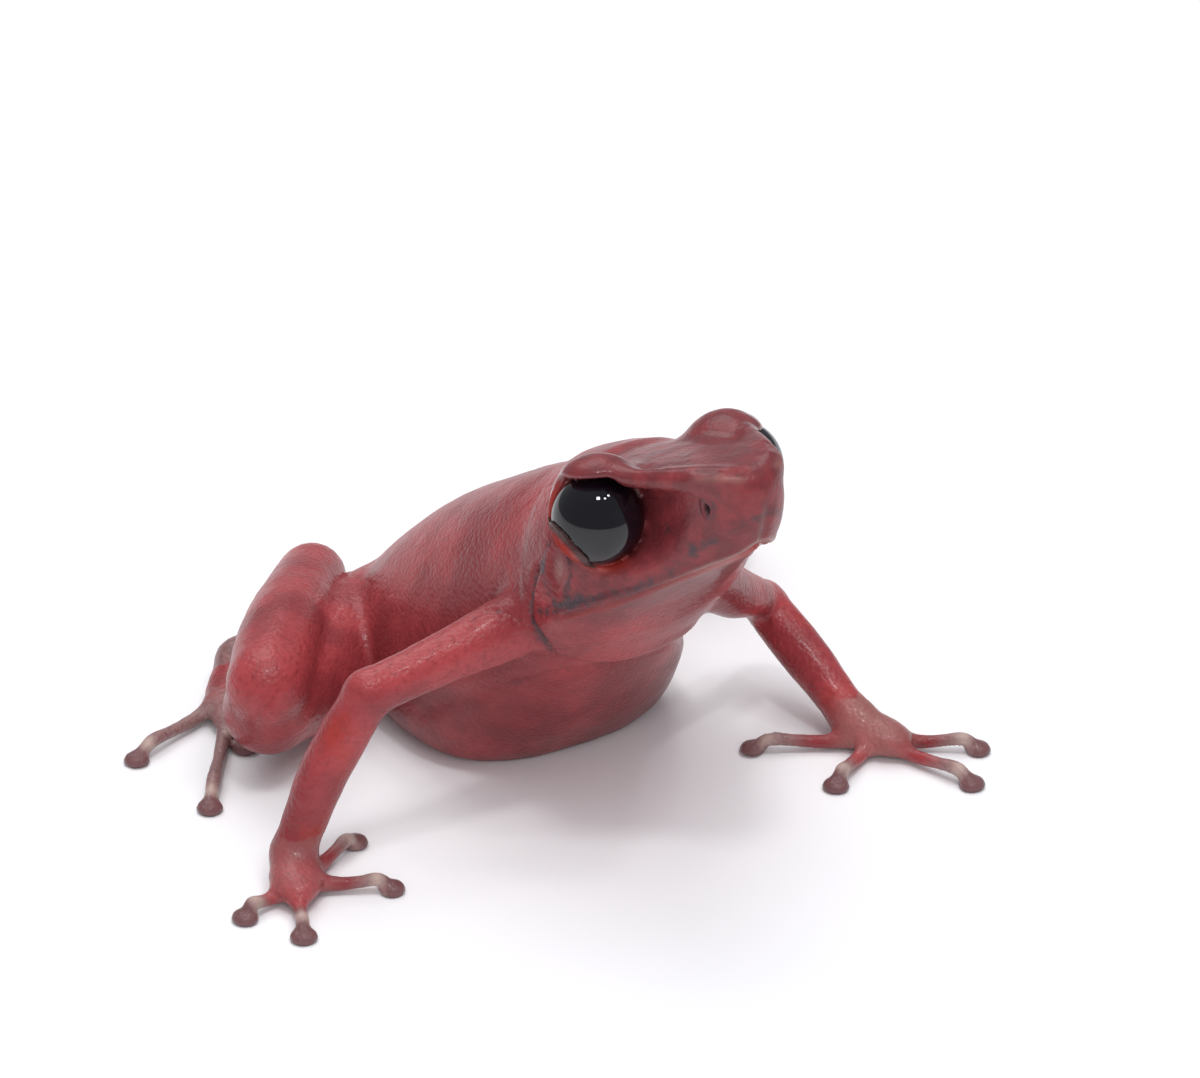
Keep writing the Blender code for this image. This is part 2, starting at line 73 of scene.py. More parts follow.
# Half width and level of the floor in metres, and each small lamp's place, side and share of their power
FLOOR_HALF = 1.5
FLOOR_LEVEL = -0.00001
LAMPS = (
    ((-0.05, -0.09, 0.43), 0.055, 0.6),
    ((0.05, -0.14, 0.42), 0.03, 0.2),
    ((0.13, -0.1, 0.41), 0.03, 0.2),
)
CAD_BOX = [list(corner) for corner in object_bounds()]
BODY = "root"
EYE_NODES = ("eye_right", "eye_left")

# Head, in its own frame of side, forward and up: origin midway between the eyes
HEAD_PLACE = (-0.07, -6.85, 10.2)
HEAD_PITCH = 20.0
HEAD_YAW = 7.0
EYE_SIDE = 2.4
# forward, top, level of the mouth, bottom, half width there, squareness above it,
# share by which it narrows to the top, forward lean of the section
HEAD_STATIONS = (
    (-3.4, 0.85, -2.75, -4.6, 3.3, 2.3, 0.1, 0.0),
    (-2.6, 0.98, -2.65, -4.3, 3.35, 2.4, 0.1, 0.0),
    (-1.6, 1.08, -2.52, -3.75, 3.2, 2.6, 0.1, 0.0),
    (-0.4, 1.14, -2.38, -3.1, 2.85, 3.0, 0.08, 0.03),
    (0.8, 1.15, -2.2, -2.65, 2.38, 4.0, 0.02, 0.09),
    (2.0, 1.1, -2.0, -2.32, 1.8, 5.0, -0.1, 0.19),
    (2.9, 0.98, -1.83, -2.05, 1.32, 5.0, -0.1, 0.28),
    (3.5, 0.82, -1.64, -1.82, 0.98, 4.4, -0.1, 0.33),
    (3.84, 0.58, -1.53, -1.63, 0.72, 3.4, -0.12, 0.34),
    (4.02, 0.24, -1.41, -1.47, 0.42, 2.6, -0.15, 0.34),
    (4.09, -0.05, -1.28, -1.32, 0.18, 2.1, -0.15, 0.34),
)
HEAD_POWER_BOTTOM = 1.9
HEAD_LEVEL = -0.6
MOUTH_CORNER = -2.1
# The lower jaw lies inside the upper by this share of its width, and its chin is this much further back
# than the lean brings it, both growing from the corner of the mouth to JAW_FULL within JAW_STEP of the lips
JAW_INSET = 0.3
CHIN = 1.3
JAW_FULL = 1.9
JAW_STEP = 0.25
# The front of the snout curls back below this level, and the neck bends to the left behind the eyes
CURL_LEVEL = -0.3
NECK_BEND = 0.12

# Eye sockets: outward side, forward and up, from the middle of the eyeball. Pairs are the right eye, then
# the left, whose upper lid is a little more closed. The opening lies under a sloping plane and a level one.
EYE_OPEN = (0.7, 0.7, 0.1)
UPPER_LID_FACES = ((-0.15, 0.1, 0.97), (0.3, 0.2, 0.93))
UPPER_LID_CUTS = (1.23, 1.05)
UPPER_LID_TOPS = (1.3, 1.0)
UPPER_LID_SHIFTS = ((-0.06, 0.1, 0.34), (-0.3, 0.05, 0.34))
UPPER_LID_RADII = (1.395, 1.29)
REAR_LID_THICK = 0.07
LOWER_LID_FACE = (0.8, -0.36, -0.48)
LOWER_LID_CUT = 0.95
LOWER_LID_THICK = 0.06
# The opening is a ball this much ahead of the eyeball and larger by the gap, and skin closes it from within
OPENING_AHEAD = 0.2
OPENING_GAP = 0.07
SOCKET_DEPTH = 0.06
# Hollow of the cheek in front of each eye: ends of its axis in the head's frame, radii there, and its top
HOLLOW = ((2.52, 0.25, 0.05), (3.3, 3.6, -0.1))
HOLLOW_RADII = (1.27, 2.05)
HOLLOW_TOP = 0.8
# Ridge from each upper lid to the snout
RIDGE = ((2.05, 1.2, 1.06), (1.72, 2.0, 0.95), (1.24, 2.9, 0.84), (0.8, 3.65, 0.68))
RIDGE_RADIUS = 0.2

# Torso: the top and the bottom of each section in the middle plane, and its half width
# top y, top z, bottom y, bottom z, half width, share of the height where it is widest
TORSO_STATIONS = (
    (-4.7, 10.3, -6.0, 6.3, 2.7, 0.3),
    (-3.6, 9.8, -5.2, 5.1, 2.85, 0.34),
    (-2.3, 9.15, -4.5, 3.9, 3.05, 0.38),
    (-0.9, 8.4, -3.7, 2.6, 3.3, 0.42),
    (0.9, 7.3, -2.75, 0.9, 3.8, 0.4),
    (2.9, 6.0, -1.4, -0.35, 4.25, 0.36),
    (4.5, 4.65, 1.1, -0.5, 4.2, 0.36),
    (5.7, 3.45, 3.7, -0.3, 3.4, 0.4),
    (6.4, 2.5, 5.6, 0.3, 2.2, 0.45),
    (6.8, 1.8, 6.6, 1.0, 1.1, 0.5),
)
TORSO_POWER_TOP = 2.1
TORSO_POWER_BOTTOM = 2.6

# Limbs as joints, root first, with radii at even steps along each length. An arm has shoulder, elbow,
# the middle of the forearm and wrist
ARM_RIGHT = ((-2.5, -4.2, 6.0), (-7.85, -4.2, 5.1), (-9.15, -4.0, 2.95), (-10.1, -3.95, 0.8))
ARM_LEFT = ((2.5, -4.0, 5.8), (6.3, -1.95, 2.7), (6.55, -3.85, 1.75), (6.75, -5.75, 0.75))
UPPER_ARM_RADII = (0.95, 0.85, 0.72, 0.66, 0.64)
FOREARM_RADII = (0.62, 0.68, 0.68, 0.62, 0.58)
THIGH_RIGHT = ((-2.4, 4.9, 1.8), (-5.9, 2.65, 1.75), (-8.9, 0.5, 2.25))
THIGH_LEFT = ((2.4, 4.9, 1.8), (6.0, 4.8, 1.75), (9.9, 4.6, 2.2))
THIGH_RADII = (1.35, 1.5, 1.45, 1.3, 1.15)
SHANK_RIGHT = ((-8.9, -0.1, 3.1), (-6.3, 3.3, 2.95), (-2.8, 7.6, 2.15))
SHANK_LEFT = ((9.9, 4.2, 3.0), (6.4, 5.6, 2.9), (2.6, 7.4, 1.8))
SHANK_RADII = (1.0, 1.15, 1.2, 1.1, 0.95)
KNEE_RADII = (1.1, 1.05, 1.0)
TARSUS_RIGHT = ((-2.9, 7.5, 0.9), (-4.6, 7.1, 0.78), (-6.2, 6.3, 0.7))
TARSUS_LEFT = ((2.5, 7.6, 0.9), (3.5, 8.3, 0.78), (4.6, 8.7, 0.7))
TARSUS_RADII = (0.62, 0.55, 0.5, 0.5, 0.55)

# Tips of the digits on the floor, first to last
FINGERS_RIGHT = ((-7.9, -3.4), (-8.25, -6.02), (-11.45, -6.88), (-12.31, -5.22))
FINGERS_LEFT = ((4.02, -4.89), (4.87, -7.82), (8.12, -9.73), (9.38, -8.24))
TOES_RIGHT = ((-6.4, 4.4), (-7.0, 3.5), (-7.95, 2.65), (-10.37, 0.29), (-10.84, 3.67))
TOES_LEFT = ((6.2, 7.9), (7.1, 7.5), (8.3, 7.2), (11.2, 7.0), (9.6, 9.5))
PALM = (1.15, 0.72, 0.5)
SOLE = (1.9, 0.75, 0.42)
DIGIT_RADII = (0.26, 0.2, 0.175, 0.2, 0.17)
DISC = (0.36, 0.38, 0.21)
# Root, tips and palm of each hand and foot, and the share along a digit where its grey begins
DIGIT_GROUPS = (
    (ARM_RIGHT[-1], FINGERS_RIGHT, PALM, 0.35),
    (ARM_LEFT[-1], FINGERS_LEFT, PALM, 0.35),
    (TARSUS_RIGHT[-1], TOES_RIGHT, SOLE, -0.2),
    (TARSUS_LEFT[-1], TOES_LEFT, SOLE, -0.2),
)

# Width over which each form melts into what it grows from
MELT = {
    "torso": 0.01, "head": 1.0, "upper arm": 0.5, "forearm": 0.25, "thigh": 0.3, "shank": 0.14,
    "knee": 0.35, "tarsus": 0.14, "palm": 0.3, "wrist": 0.3, "digit": 0.25, "disc": 0.12,
    "hollow": 0.45, "ridge": 0.5, "upper lid": 0.4, "rear lid": 0.2, "opening": 0.06, "lower lid": 0.08,
    "socket": 0.03,
}

# Field and mesh
BAND = 0.9
MARGIN = 1.0
BODY_STEP = 0.1
HEAD_STEP = 0.05
EYE_STEP = 0.03
# Shells round the middle of each eye where the mesh is finer and finest: radius, half thickness, and how
# little a point may lie outwards and forward of the middle
LID_SHELL = (1.41, 0.2, -0.6)
LID_EDGE = (1.3, 0.09, -0.1)
# Round each eye the skin is read from a finer grid of this half width, within this reach
ORBIT_GRID = 2.15
ORBIT_REACH = 2.0
HEAD_BOX = np.array([[-4.6, -12.6, 4.6], [4.6, -3.4, 13.4]])
MARKS = ("dark", "warm", "digit", "pale", "disc", "rim", "sleek", "darker_skin_and_shade")
SEED = 11


def head_turn():
    """The rotation from the head's frame (side, -forward, up) to the model."""
    return (Matrix.Rotation(math.radians(HEAD_YAW), 3, "Z")
            @ Matrix.Rotation(math.radians(-HEAD_PITCH), 3, "X"))


HEAD_AXES = np.array(head_turn())


def from_head(points):
    """Points given as side, forward, up in the head's frame, in the model."""
    points = np.asarray(points, float)
    return (points * (1, -1, 1)) @ HEAD_AXES.T + HEAD_PLACE


def turn_from_head(directions):
    """Directions given as side, forward, up in the head's frame, in the model, of unit length."""
    turned = (np.asarray(directions, float) * (1, -1, 1)) @ HEAD_AXES.T
    return turned / np.linalg.norm(turned, axis=-1, keepdims=True)


def to_head(points):
    """Points of the model as side, forward, up in the head's frame."""
    return ((np.asarray(points, float) - HEAD_PLACE) @ HEAD_AXES) * (1, -1, 1)


def smooth_rows(rows, count):
    """Rows read at even steps along a Catmull-Rom curve through them."""
    rows = np.array(rows, float)
    padded = np.vstack([2 * rows[0] - rows[1], rows, 2 * rows[-1] - rows[-2]])
    place = np.linspace(0, len(rows) - 1, count)
    first = np.minimum(place.astype(int), len(rows) - 2)
    t = (place - first)[:, None]
    p0, p1, p2, p3 = (padded[first + k] for k in range(4))
    return 0.5 * (2 * p1 + (p2 - p0) * t + (2 * p0 - 5 * p1 + 4 * p2 - p3) * t ** 2
                  + (3 * p1 - p0 - 3 * p2 + p3) * t ** 3)


def superellipse(count, power_up, power_down):
    """Side and height round a unit section: cosine and sine, each to the power 2 / squareness."""
    angle = np.linspace(0, 2 * math.pi, count, endpoint=False)
    power = np.where(np.sin(angle) >= 0, power_up, power_down)
    side = np.sign(np.cos(angle)) * np.abs(np.cos(angle)) ** (2 / power)
    height = np.sign(np.sin(angle)) * np.abs(np.sin(angle)) ** (2 / power)
    return side, height


def closed_surface(rings):
    """Points, quads and triangles over rings (ring, place round it), closed on each end's middle."""
    count, around = rings.shape[:2]
    points = np.vstack([rings.reshape(-1, 3), rings[0].mean(0), rings[-1].mean(0)])
    ring = np.arange(around)
    after = (ring + 1) % around
    start = (np.arange(count - 1) * around)[:, None]
    quads = np.stack([start + ring, start + after, start + after + around, start + ring + around], -1)
    last = (count - 1) * around
    near = np.stack([after, ring, np.full(around, count * around)], -1)
    far = np.stack([last + ring, last + after, np.full(around, count * around + 1)], -1)
    return points, quads.reshape(-1, 4), np.vstack([near, far])


def head_points(row, side, height):
    """Points of a head section from unit side and height: it narrows upwards and leans forward.

    Just under the line of the mouth it steps in by the jaw's inset and the chin recedes. The front of the
    snout curls back with the square of the depth under its level, and the neck bends evenly to the left."""
    forward, top, mouth, bottom, half, _, narrowing, lean = row
    up = mouth + height * np.where(height >= 0, top - mouth, mouth - bottom)
    under = 1 - np.exp(np.minimum(up - mouth, 0) / JAW_STEP)
    under = under * min(max((forward - MOUTH_CORNER) / (JAW_FULL - MOUTH_CORNER), 0), 1)
    side = half * side * (1 - narrowing * np.maximum(height, 0) - JAW_INSET * under)
    curl = np.maximum(CURL_LEVEL - up, 0) ** 2
    return from_head(np.stack([side + NECK_BEND * max(-forward, 0),
                               forward + lean * (up - HEAD_LEVEL - curl - CHIN * under), up], -1))


def head_surface():
    """Skull and jaw: superellipse sections whose sizes follow HEAD_STATIONS from neck to snout."""
    rows = smooth_rows(HEAD_STATIONS, 70)
    return closed_surface(np.stack([head_points(row, *superellipse(96, row[5], HEAD_POWER_BOTTOM))
                                    for row in rows]))


def torso_surface():
    """Trunk: superellipse sections that lean with the line from their top to their bottom."""
    rings = []
    side, height = superellipse(96, TORSO_POWER_TOP, TORSO_POWER_BOTTOM)
    for top_y, top_z, bottom_y, bottom_z, half, widest in smooth_rows(TORSO_STATIONS, 70):
        along = widest + height * np.where(height >= 0, 1 - widest, widest)
        rings.append(np.stack([half * side, bottom_y + (top_y - bottom_y) * along,
                               bottom_z + (top_z - bottom_z) * along], -1))
    return closed_surface(np.stack(rings))


def limb_surface(points, radii, inside=(False, False), around=28, steps=30):
    """Circle carried along a smooth path, its radius following radii, with a half ball at each end.

    An end marked inside has its ball within the path's length, and any other beyond it."""
    path = smooth_rows(points, steps)
    thick = smooth_rows(np.array(radii, float)[:, None], steps)[:, 0]
    run = np.concatenate([[0], np.cumsum(np.linalg.norm(np.diff(path, axis=0), axis=1))])
    low = thick[0] if inside[0] else 0
    high = run[-1] - (thick[-1] if inside[1] else 0)
    place = np.linspace(low, high, steps)
    middle = np.stack([np.interp(place, run, path[:, k]) for k in range(3)], -1)
    width = np.interp(place, run, thick)
    along = np.gradient(middle, axis=0)
    along /= np.linalg.norm(along, axis=1, keepdims=True)
    angles = np.radians([86, 70, 52, 35, 17])
    head = middle[0] - along[0] * (width[0] * np.sin(angles))[:, None]
    tail = middle[-1] + along[-1] * (width[-1] * np.sin(angles[::-1]))[:, None]
    centres = np.vstack([head, middle, tail])
    widths = np.concatenate([width[0] * np.cos(angles), width, width[-1] * np.cos(angles[::-1])])
    along = np.vstack([np.repeat(along[:1], len(angles), 0), along, np.repeat(along[-1:], len(angles), 0)])
    steady = np.eye(3)[np.argmin(np.abs(along.mean(0)))]
    across = np.cross(steady, along)
    across /= np.linalg.norm(across, axis=1, keepdims=True)
    up = np.cross(along, across)
    angle = np.linspace(0, 2 * math.pi, around, endpoint=False)
    ring = (across[:, None] * np.cos(angle)[:, None] + up[:, None] * np.sin(angle)[:, None])
    return closed_surface(centres[:, None] + ring * widths[:, None, None])


def ellipsoid_surface(centre, radii, along, rings=20):
    """Ball stretched by three radii, the first along a level direction and the last upwards."""
    along = np.array([along[0], along[1], 0.0]) / math.hypot(along[0], along[1])
    axes = np.stack([along, np.cross([0, 0, 1.0], along), [0, 0, 1.0]])
    tilt = np.linspace(-math.pi / 2, math.pi / 2, rings + 2)[1:-1, None]
    turn = np.linspace(0, 2 * math.pi, 2 * rings, endpoint=False)
    unit = np.stack([np.cos(tilt) * np.cos(turn), np.cos(tilt) * np.sin(turn),
                     np.sin(tilt) * np.ones_like(turn)], -1)
    return closed_surface((unit * radii) @ axes + centre)


class Field:
    """Signed distances in millimetres on a regular grid, negative inside the flesh."""

    def __init__(self, low, high, step):
        self.step = step
        self.first = np.floor(np.array(low, float) / step).astype(int)
        size = np.ceil(np.array(high, float) / step).astype(int) - self.first + 1
        self.value = np.full(size, BAND, np.float32)

    def window(self, low, high):
        """The slices of the grid that hold a box."""
        start = np.floor(np.array(low, float) / self.step).astype(int) - self.first
        stop = np.ceil(np.array(high, float) / self.step).astype(int) - self.first + 1
        start = np.clip(start, 0, self.value.shape)
        stop = np.clip(stop, 0, self.value.shape)
        return tuple(slice(a, b) for a, b in zip(start, stop))

    def places(self, window):
        """Coordinates of the grid's points in a window, in the model."""
        lines = [(np.arange(cut.start, cut.stop) + first) * self.step
                 for cut, first in zip(window, self.first)]
        return np.stack(np.meshgrid(*lines, indexing="ij"), -1)

    def measure(self, surface):
        """A window round a closed surface, and the distances to it there."""
        points, quads, triangles = surface
        window = self.window(points.min(0) - BAND, points.max(0) + BAND)
        block = np.full([cut.stop - cut.start for cut in window], BAND, np.float32)
        if block.size:
            grid = openvdb.FloatGrid.createLevelSetFromPolygons(
                points.astype(np.float32), quads=quads.astype(np.uint32),
                triangles=triangles.astype(np.uint32), halfWidth=BAND / self.step,
                transform=openvdb.createLinearTransform(voxelSize=self.step))
            corner = [int(cut.start + first) for cut, first in zip(window, self.first)]
            grid.copyToArray(block, ijk=tuple(corner))
        return window, block

    def add(self, window, block, width):
        """Smooth union: the smaller distance, less a square fillet where the two are closer than width."""
        here = self.value[window]
        near = np.maximum(width - np.abs(here - block), 0) / width
        self.value[window] = np.minimum(here, block) - near * near * width / 4

    def carve(self, window, block, width):
        """Smooth cut: the larger of this distance and the reverse of the cutter's."""
        here = self.value[window]
        near = np.maximum(width - np.abs(here + block), 0) / width
        self.value[window] = np.maximum(here, -block) + near * near * width / 4

    def at(self, points):
        """Distances at any points, linear between the grid's."""
        place = points / self.step - self.first
        place = np.clip(place, 0, np.array(self.value.shape) - 1.001)
        low = place.astype(int)
        part = place - low
        total = np.zeros(len(points))
        for corner in range(8):
            bits = [(corner >> k) & 1 for k in range(3)]
            weight = np.prod([part[:, k] if bits[k] else 1 - part[:, k] for k in range(3)], axis=0)
            total += weight * self.value[low[:, 0] + bits[0], low[:, 1] + bits[1], low[:, 2] + bits[2]]
        return total

    def slope(self, points):
        """Gradient at any points, by central differences a step apart."""
        shifts = np.eye(3) * self.step / 2
        return np.stack([(self.at(points + s) - self.at(points - s)) / self.step for s in shifts], -1)

    def settle(self, points, rounds=3):
        """Points moved down the slope onto the zero level."""
        for _ in range(rounds):
            slope = self.slope(points)
            steep = np.maximum((slope ** 2).sum(1), 0.1)
            points = points - slope * np.clip(self.at(points) / steep, -0.2, 0.2)[:, None]
        return points


def soft_larger(first, second, width):
    """The larger of two distances, rounded where they are closer than width."""
    near = np.maximum(width - np.abs(first - second), 0) / width
    return np.maximum(first, second) + near * near * width / 4


def ball_distance(places, centre, radius):
    """Distance from a ball's surface: from its centre, less its radius."""
    return np.linalg.norm(places - centre, axis=-1) - radius


def cone_distance(places, ends, radii):
    """Distance from a round cone with ball ends, near enough for a small taper."""
    start, end = ends
    run = end - start
    along = np.clip((places - start) @ run / (run @ run), 0, 1)
    centre = start + along[..., None] * run
    return np.linalg.norm(places - centre, axis=-1) - (radii[0] + (radii[1] - radii[0]) * along)


def shape_head(field, eye_radius):
    """Orbits, ridges and lids of both eyes.

    A hollow in front of each eye bares the ball, under a ridge that runs to the snout. A bulge over the
    ball and behind it is the upper lid, and a thin shell below and behind it the lower lid. Skin just
    inside the ball closes them."""
    lids = zip((-1, 1), UPPER_LID_FACES, UPPER_LID_CUTS, UPPER_LID_TOPS, UPPER_LID_SHIFTS, UPPER_LID_RADII)
    for sign, face, cut, top, shift, lid_radius in lids:
        out = np.array([sign, 1, 1])
        eye = from_head((sign * EYE_SIDE, 0, 0))
        window = field.window(eye - 4.2, eye + 4.2)
        places = field.places(window)
        if not places.size:
            continue
        offset = places - eye
        level = offset @ turn_from_head((0, 0, 1))
        over = soft_larger(offset @ turn_from_head(out * face) - cut, level - top, 0.2)
        look = offset @ turn_from_head(out * EYE_OPEN)
        hollow = cone_distance(places, from_head(np.array(HOLLOW) * out), HOLLOW_RADII)
        field.carve(window, soft_larger(hollow, level - HOLLOW_TOP, 0.5), MELT["hollow"])
        ridge = from_head(smooth_rows(RIDGE, 7) * out)
        nearby = field.window(ridge.min(0) - 1, ridge.max(0) + 1)
        bar = np.minimum.reduce([cone_distance(field.places(nearby), ends, (RIDGE_RADIUS,) * 2)
                                 for ends in zip(ridge, ridge[1:])])
        field.add(nearby, bar, MELT["ridge"])
        lid = ball_distance(places, from_head((sign * EYE_SIDE, 0, 0) + out * shift), lid_radius)
        ahead = soft_larger(look, offset @ turn_from_head((0, 1, 0)) - 0.1, 0.3)
        field.add(window, soft_larger(lid, -soft_larger(over, -ahead, 0.3), 0.35), MELT["upper lid"])
        rear = ball_distance(places, eye, eye_radius + REAR_LID_THICK)
        field.add(window, soft_larger(rear, ahead, 0.08), MELT["rear lid"])
        ball = eye + OPENING_AHEAD * turn_from_head(out * EYE_OPEN)
        open_ball = ball_distance(places, ball, eye_radius + OPENING_GAP)
        opening = soft_larger(open_ball, soft_larger(over, -look, 0.1), 0.1)
        field.carve(window, opening, MELT["opening"])
        under = LOWER_LID_CUT - offset @ turn_from_head(out * LOWER_LID_FACE)
        lower = ball_distance(places, eye, eye_radius + LOWER_LID_THICK)
        field.add(window, soft_larger(lower, under, 0.06), MELT["lower lid"])
        field.add(window, ball_distance(places, eye, eye_radius - SOCKET_DEPTH), MELT["socket"])


def shape_hand(field, root, tips, palm, root_radius):
    """Palm or sole with a root, and digits that rise to a knuckle and end in a flat disc."""
    run = np.array([tips[-2][0], tips[-2][1], 0.3]) - root
    level = np.array([run[0], run[1], 0.0])
    level /= np.linalg.norm(level)
    centre = np.array([root[0], root[1], palm[2]]) + level * palm[0] * 0.75
    field.add(*field.measure(ellipsoid_surface(centre, palm, level)), MELT["palm"])
    radii = (root_radius, root_radius * 0.95, 0.36)
    wrist = limb_surface([root, root + (centre - root) * 0.4, centre], radii)
    field.add(*field.measure(wrist), MELT["wrist"])
    for tip in tips:
        end = np.array([tip[0], tip[1], DISC[2] * 0.5])
        along = (end - centre) * (1, 1, 0)
        along /= np.linalg.norm(along)
        base = centre + along * palm[1] * 0.5
        base[2] = 0.36
        bends = [base]
        for share, height in ((0.35, 0.28), (0.62, 0.34), (0.82, 0.4)):
            bends.append(base + (end - base) * (share, share, 0) + (0, 0, height - base[2]))
        bends.append(end - along * 0.1 + (0, 0, 0.1))
        digit = limb_surface(bends, DIGIT_RADII, steps=24)
        field.add(*field.measure(digit), MELT["digit"])
        field.add(*field.measure(ellipsoid_surface(end, DISC, along)), MELT["disc"])


def shape_limbs(field):
    """Arms and legs, each length melted into the one before it."""
    for joints, tips in ((ARM_RIGHT, FINGERS_RIGHT), (ARM_LEFT, FINGERS_LEFT)):
        shoulder, elbow, middle, wrist = (np.array(joint) for joint in joints)
        upper = limb_surface([shoulder, (shoulder + elbow) / 2, elbow], UPPER_ARM_RADII)
        fore = limb_surface([elbow, middle, wrist], FOREARM_RADII)
        field.add(*field.measure(upper), MELT["upper arm"])
        field.add(*field.measure(fore), MELT["forearm"])
        shape_hand(field, wrist, tips, PALM, FOREARM_RADII[-1])
    for thigh, shank, tarsus, toes in ((THIGH_RIGHT, SHANK_RIGHT, TARSUS_RIGHT, TOES_RIGHT),
                                       (THIGH_LEFT, SHANK_LEFT, TARSUS_LEFT, TOES_LEFT)):
        field.add(*field.measure(limb_surface(thigh, THIGH_RADII, (False, True))), MELT["thigh"])
        field.add(*field.measure(limb_surface(shank, SHANK_RADII, (True, True))), MELT["shank"])
        knee = [np.array(end) + (np.array(middle) - end) * 0.3 for middle, end in (thigh[1:], shank[1::-1])]
        bend = limb_surface([knee[0], (knee[0] + knee[1]) / 2, knee[1]], KNEE_RADII)
        field.add(*field.measure(bend), MELT["knee"])
        field.add(*field.measure(limb_surface(tarsus, TARSUS_RADII, (True, False))), MELT["tarsus"])
        shape_hand(field, np.array(tarsus[-1]), toes, SOLE, TARSUS_RADII[-1])


def shape_flesh(field):
    """The whole frog from trunk to toes, but for its lids."""
    field.add(*field.measure(torso_surface()), MELT["torso"])
    field.add(*field.measure(head_surface()), MELT["head"])
    shape_limbs(field)


def zero_level(field, every):
    """Quads of the zero level, read from every so many points of the grid."""
    coarse = np.ascontiguousarray(field.value[::every, ::every, ::every])
    grid = openvdb.FloatGrid(BAND)
    grid.copyFromArray(coarse)
    points, quads = grid.convertToQuads(isovalue=0.0)
    return np.array(points, float) * (field.step * every) + field.first * field.step, np.array(quads)


def near_path(points, path):
    """Distance to a path, share of the way along it, and the offset from its nearest point."""
    path = np.asarray(path, float)
    lengths = np.linalg.norm(np.diff(path, axis=0), axis=1)
    total = lengths.sum()
    best = np.full(len(points), 1e9)
    share = np.zeros(len(points))
    offset = np.zeros((len(points), 3))
    done = 0.0
    for start, end, length in zip(path, path[1:], lengths):
        step = (end - start) / length
        along = np.clip((points - start) @ step, 0, length)
        away = points - (start + along[:, None] * step)
        distance = np.linalg.norm(away, axis=1)
        closer = distance < best
        best = np.where(closer, distance, best)
        share = np.where(closer, (done + along) / total, share)
        offset[closer] = away[closer]
        done += length
    return best, share, offset


def bell(value, width):
    """Gaussian bump of a width."""
    return np.exp(-(value / width) ** 2)


def step_up(value, low, high):
    """Smooth step from 0 at low to 1 at high."""
    t = np.clip((value - low) / (high - low), 0, 1)
    return t * t * (3 - 2 * t)


def value_noise(points, size, seed):
    """Random heights on a lattice of cells of a size, smooth between them, from -1 to 1."""
    lattice = np.random.default_rng(seed).uniform(-1, 1, (32, 32, 32))
    place = points / size + 1000
    low = np.floor(place).astype(int)
    part = place - low
    part = part * part * (3 - 2 * part)
    total = np.zeros(len(points))
    for corner in range(8):
        bits = np.array([(corner >> k) & 1 for k in range(3)])
        weight = np.prod(np.where(bits, part, 1 - part), axis=1)
        cell = (low + bits) % 32
        total += weight * lattice[cell[:, 0], cell[:, 1], cell[:, 2]]
    return total


# Lines of the face and chest, as points of side (outwards), forward and up in the head's frame
LIP_BAND = ((-0.15, 4.12, -0.45), (0.31, 4.08, -0.51), (0.81, 3.71, -0.67), (1.05, 3.29, -0.8),
    (1.3, 2.65, -1.08), (1.53, 1.95, -1.47), (1.84, 1.26, -1.82), (2.26, 0.59, -2.0), (2.61, -0.04, -2.08),
    (2.82, -0.68, -2.16), (2.96, -1.42, -2.24), (3.06, -2.1, -2.44), (3.07, -2.69, -2.61))
CANTHUS = ((1.57, 3.1, 0.95), (1.33, 3.38, 0.89), (1.03, 3.81, 0.79), (0.72, 4.02, 0.67),
    (0.39, 4.21, 0.56))
NOSTRIL = (1.22, 3.19, 0.01)
EARDRUM = (2.88, -1.7, -1.35)
JAW_CREASE = ((2.84, -2.4, -1.13), (2.94, -2.79, -1.67), (2.99, -3.06, -2.18), (3.03, -3.21, -2.65),
    (2.92, -3.15, -3.19), (2.49, -3.45, -3.82), (1.82, -4.41, -4.47))
ARM_CREASE = ((3.02, -3.2, -2.57), (3.13, -3.39, -2.85), (3.35, -3.68, -2.57), (3.59, -3.98, -2.4),
    (3.88, -4.22, -2.37), (4.42, -4.33, -2.49))
THROAT_CREASE = ((2.7, -3.16, -3.51), (2.33, -3.23, -3.86), (1.5, -3.98, -4.4))
# Each crease with its depth and width
CREASES = ((JAW_CREASE, 0.12, 0.11), (ARM_CREASE, 0.05, 0.1), (THROAT_CREASE, 0.05, 0.06))
# Soft grey smudges of the cheek
SMUDGES = ((1.38, 1.52, -0.52), (1.43, 2.41, -1.02), (2.88, -2.21, -1.25))
# Points of the model
CHEST_FOLD = ((-4.4, 0.1, 1.3), (-4.35, -0.8, 2.0), (-4.1, -1.6, 2.6), (-3.9, -2.4, 3.0), (-3.3, -3.9, 3.7),
              (-2.4, -5.1, 4.3), (-1.6, -5.4, 4.2), (-0.7, -5.5, 4.2), (0.2, -5.5, 4.3), (1.6, -5.4, 4.25),
              (3.0, -4.3, 3.8), (4.0, -2.2, 2.9), (4.4, -0.4, 1.8))


def mirrored(path):
    """A line of the head on its right and its left side, in the model."""
    path = np.array(path, float)
    return [from_head(path * (sign, 1, 1)) for sign in (-1, 1)]


def mouth_line():
    """The line of the mouth from corner to corner, where the head's sections are widest."""
    rows = [row for row in smooth_rows(HEAD_STATIONS, 60) if row[0] > MOUTH_CORNER]
    one = np.ones(1)
    right = [head_points(row, -one, 0 * one)[0] for row in rows]
    left = [head_points(row, one, 0 * one)[0] for row in rows]
    return np.array(right + left[::-1])


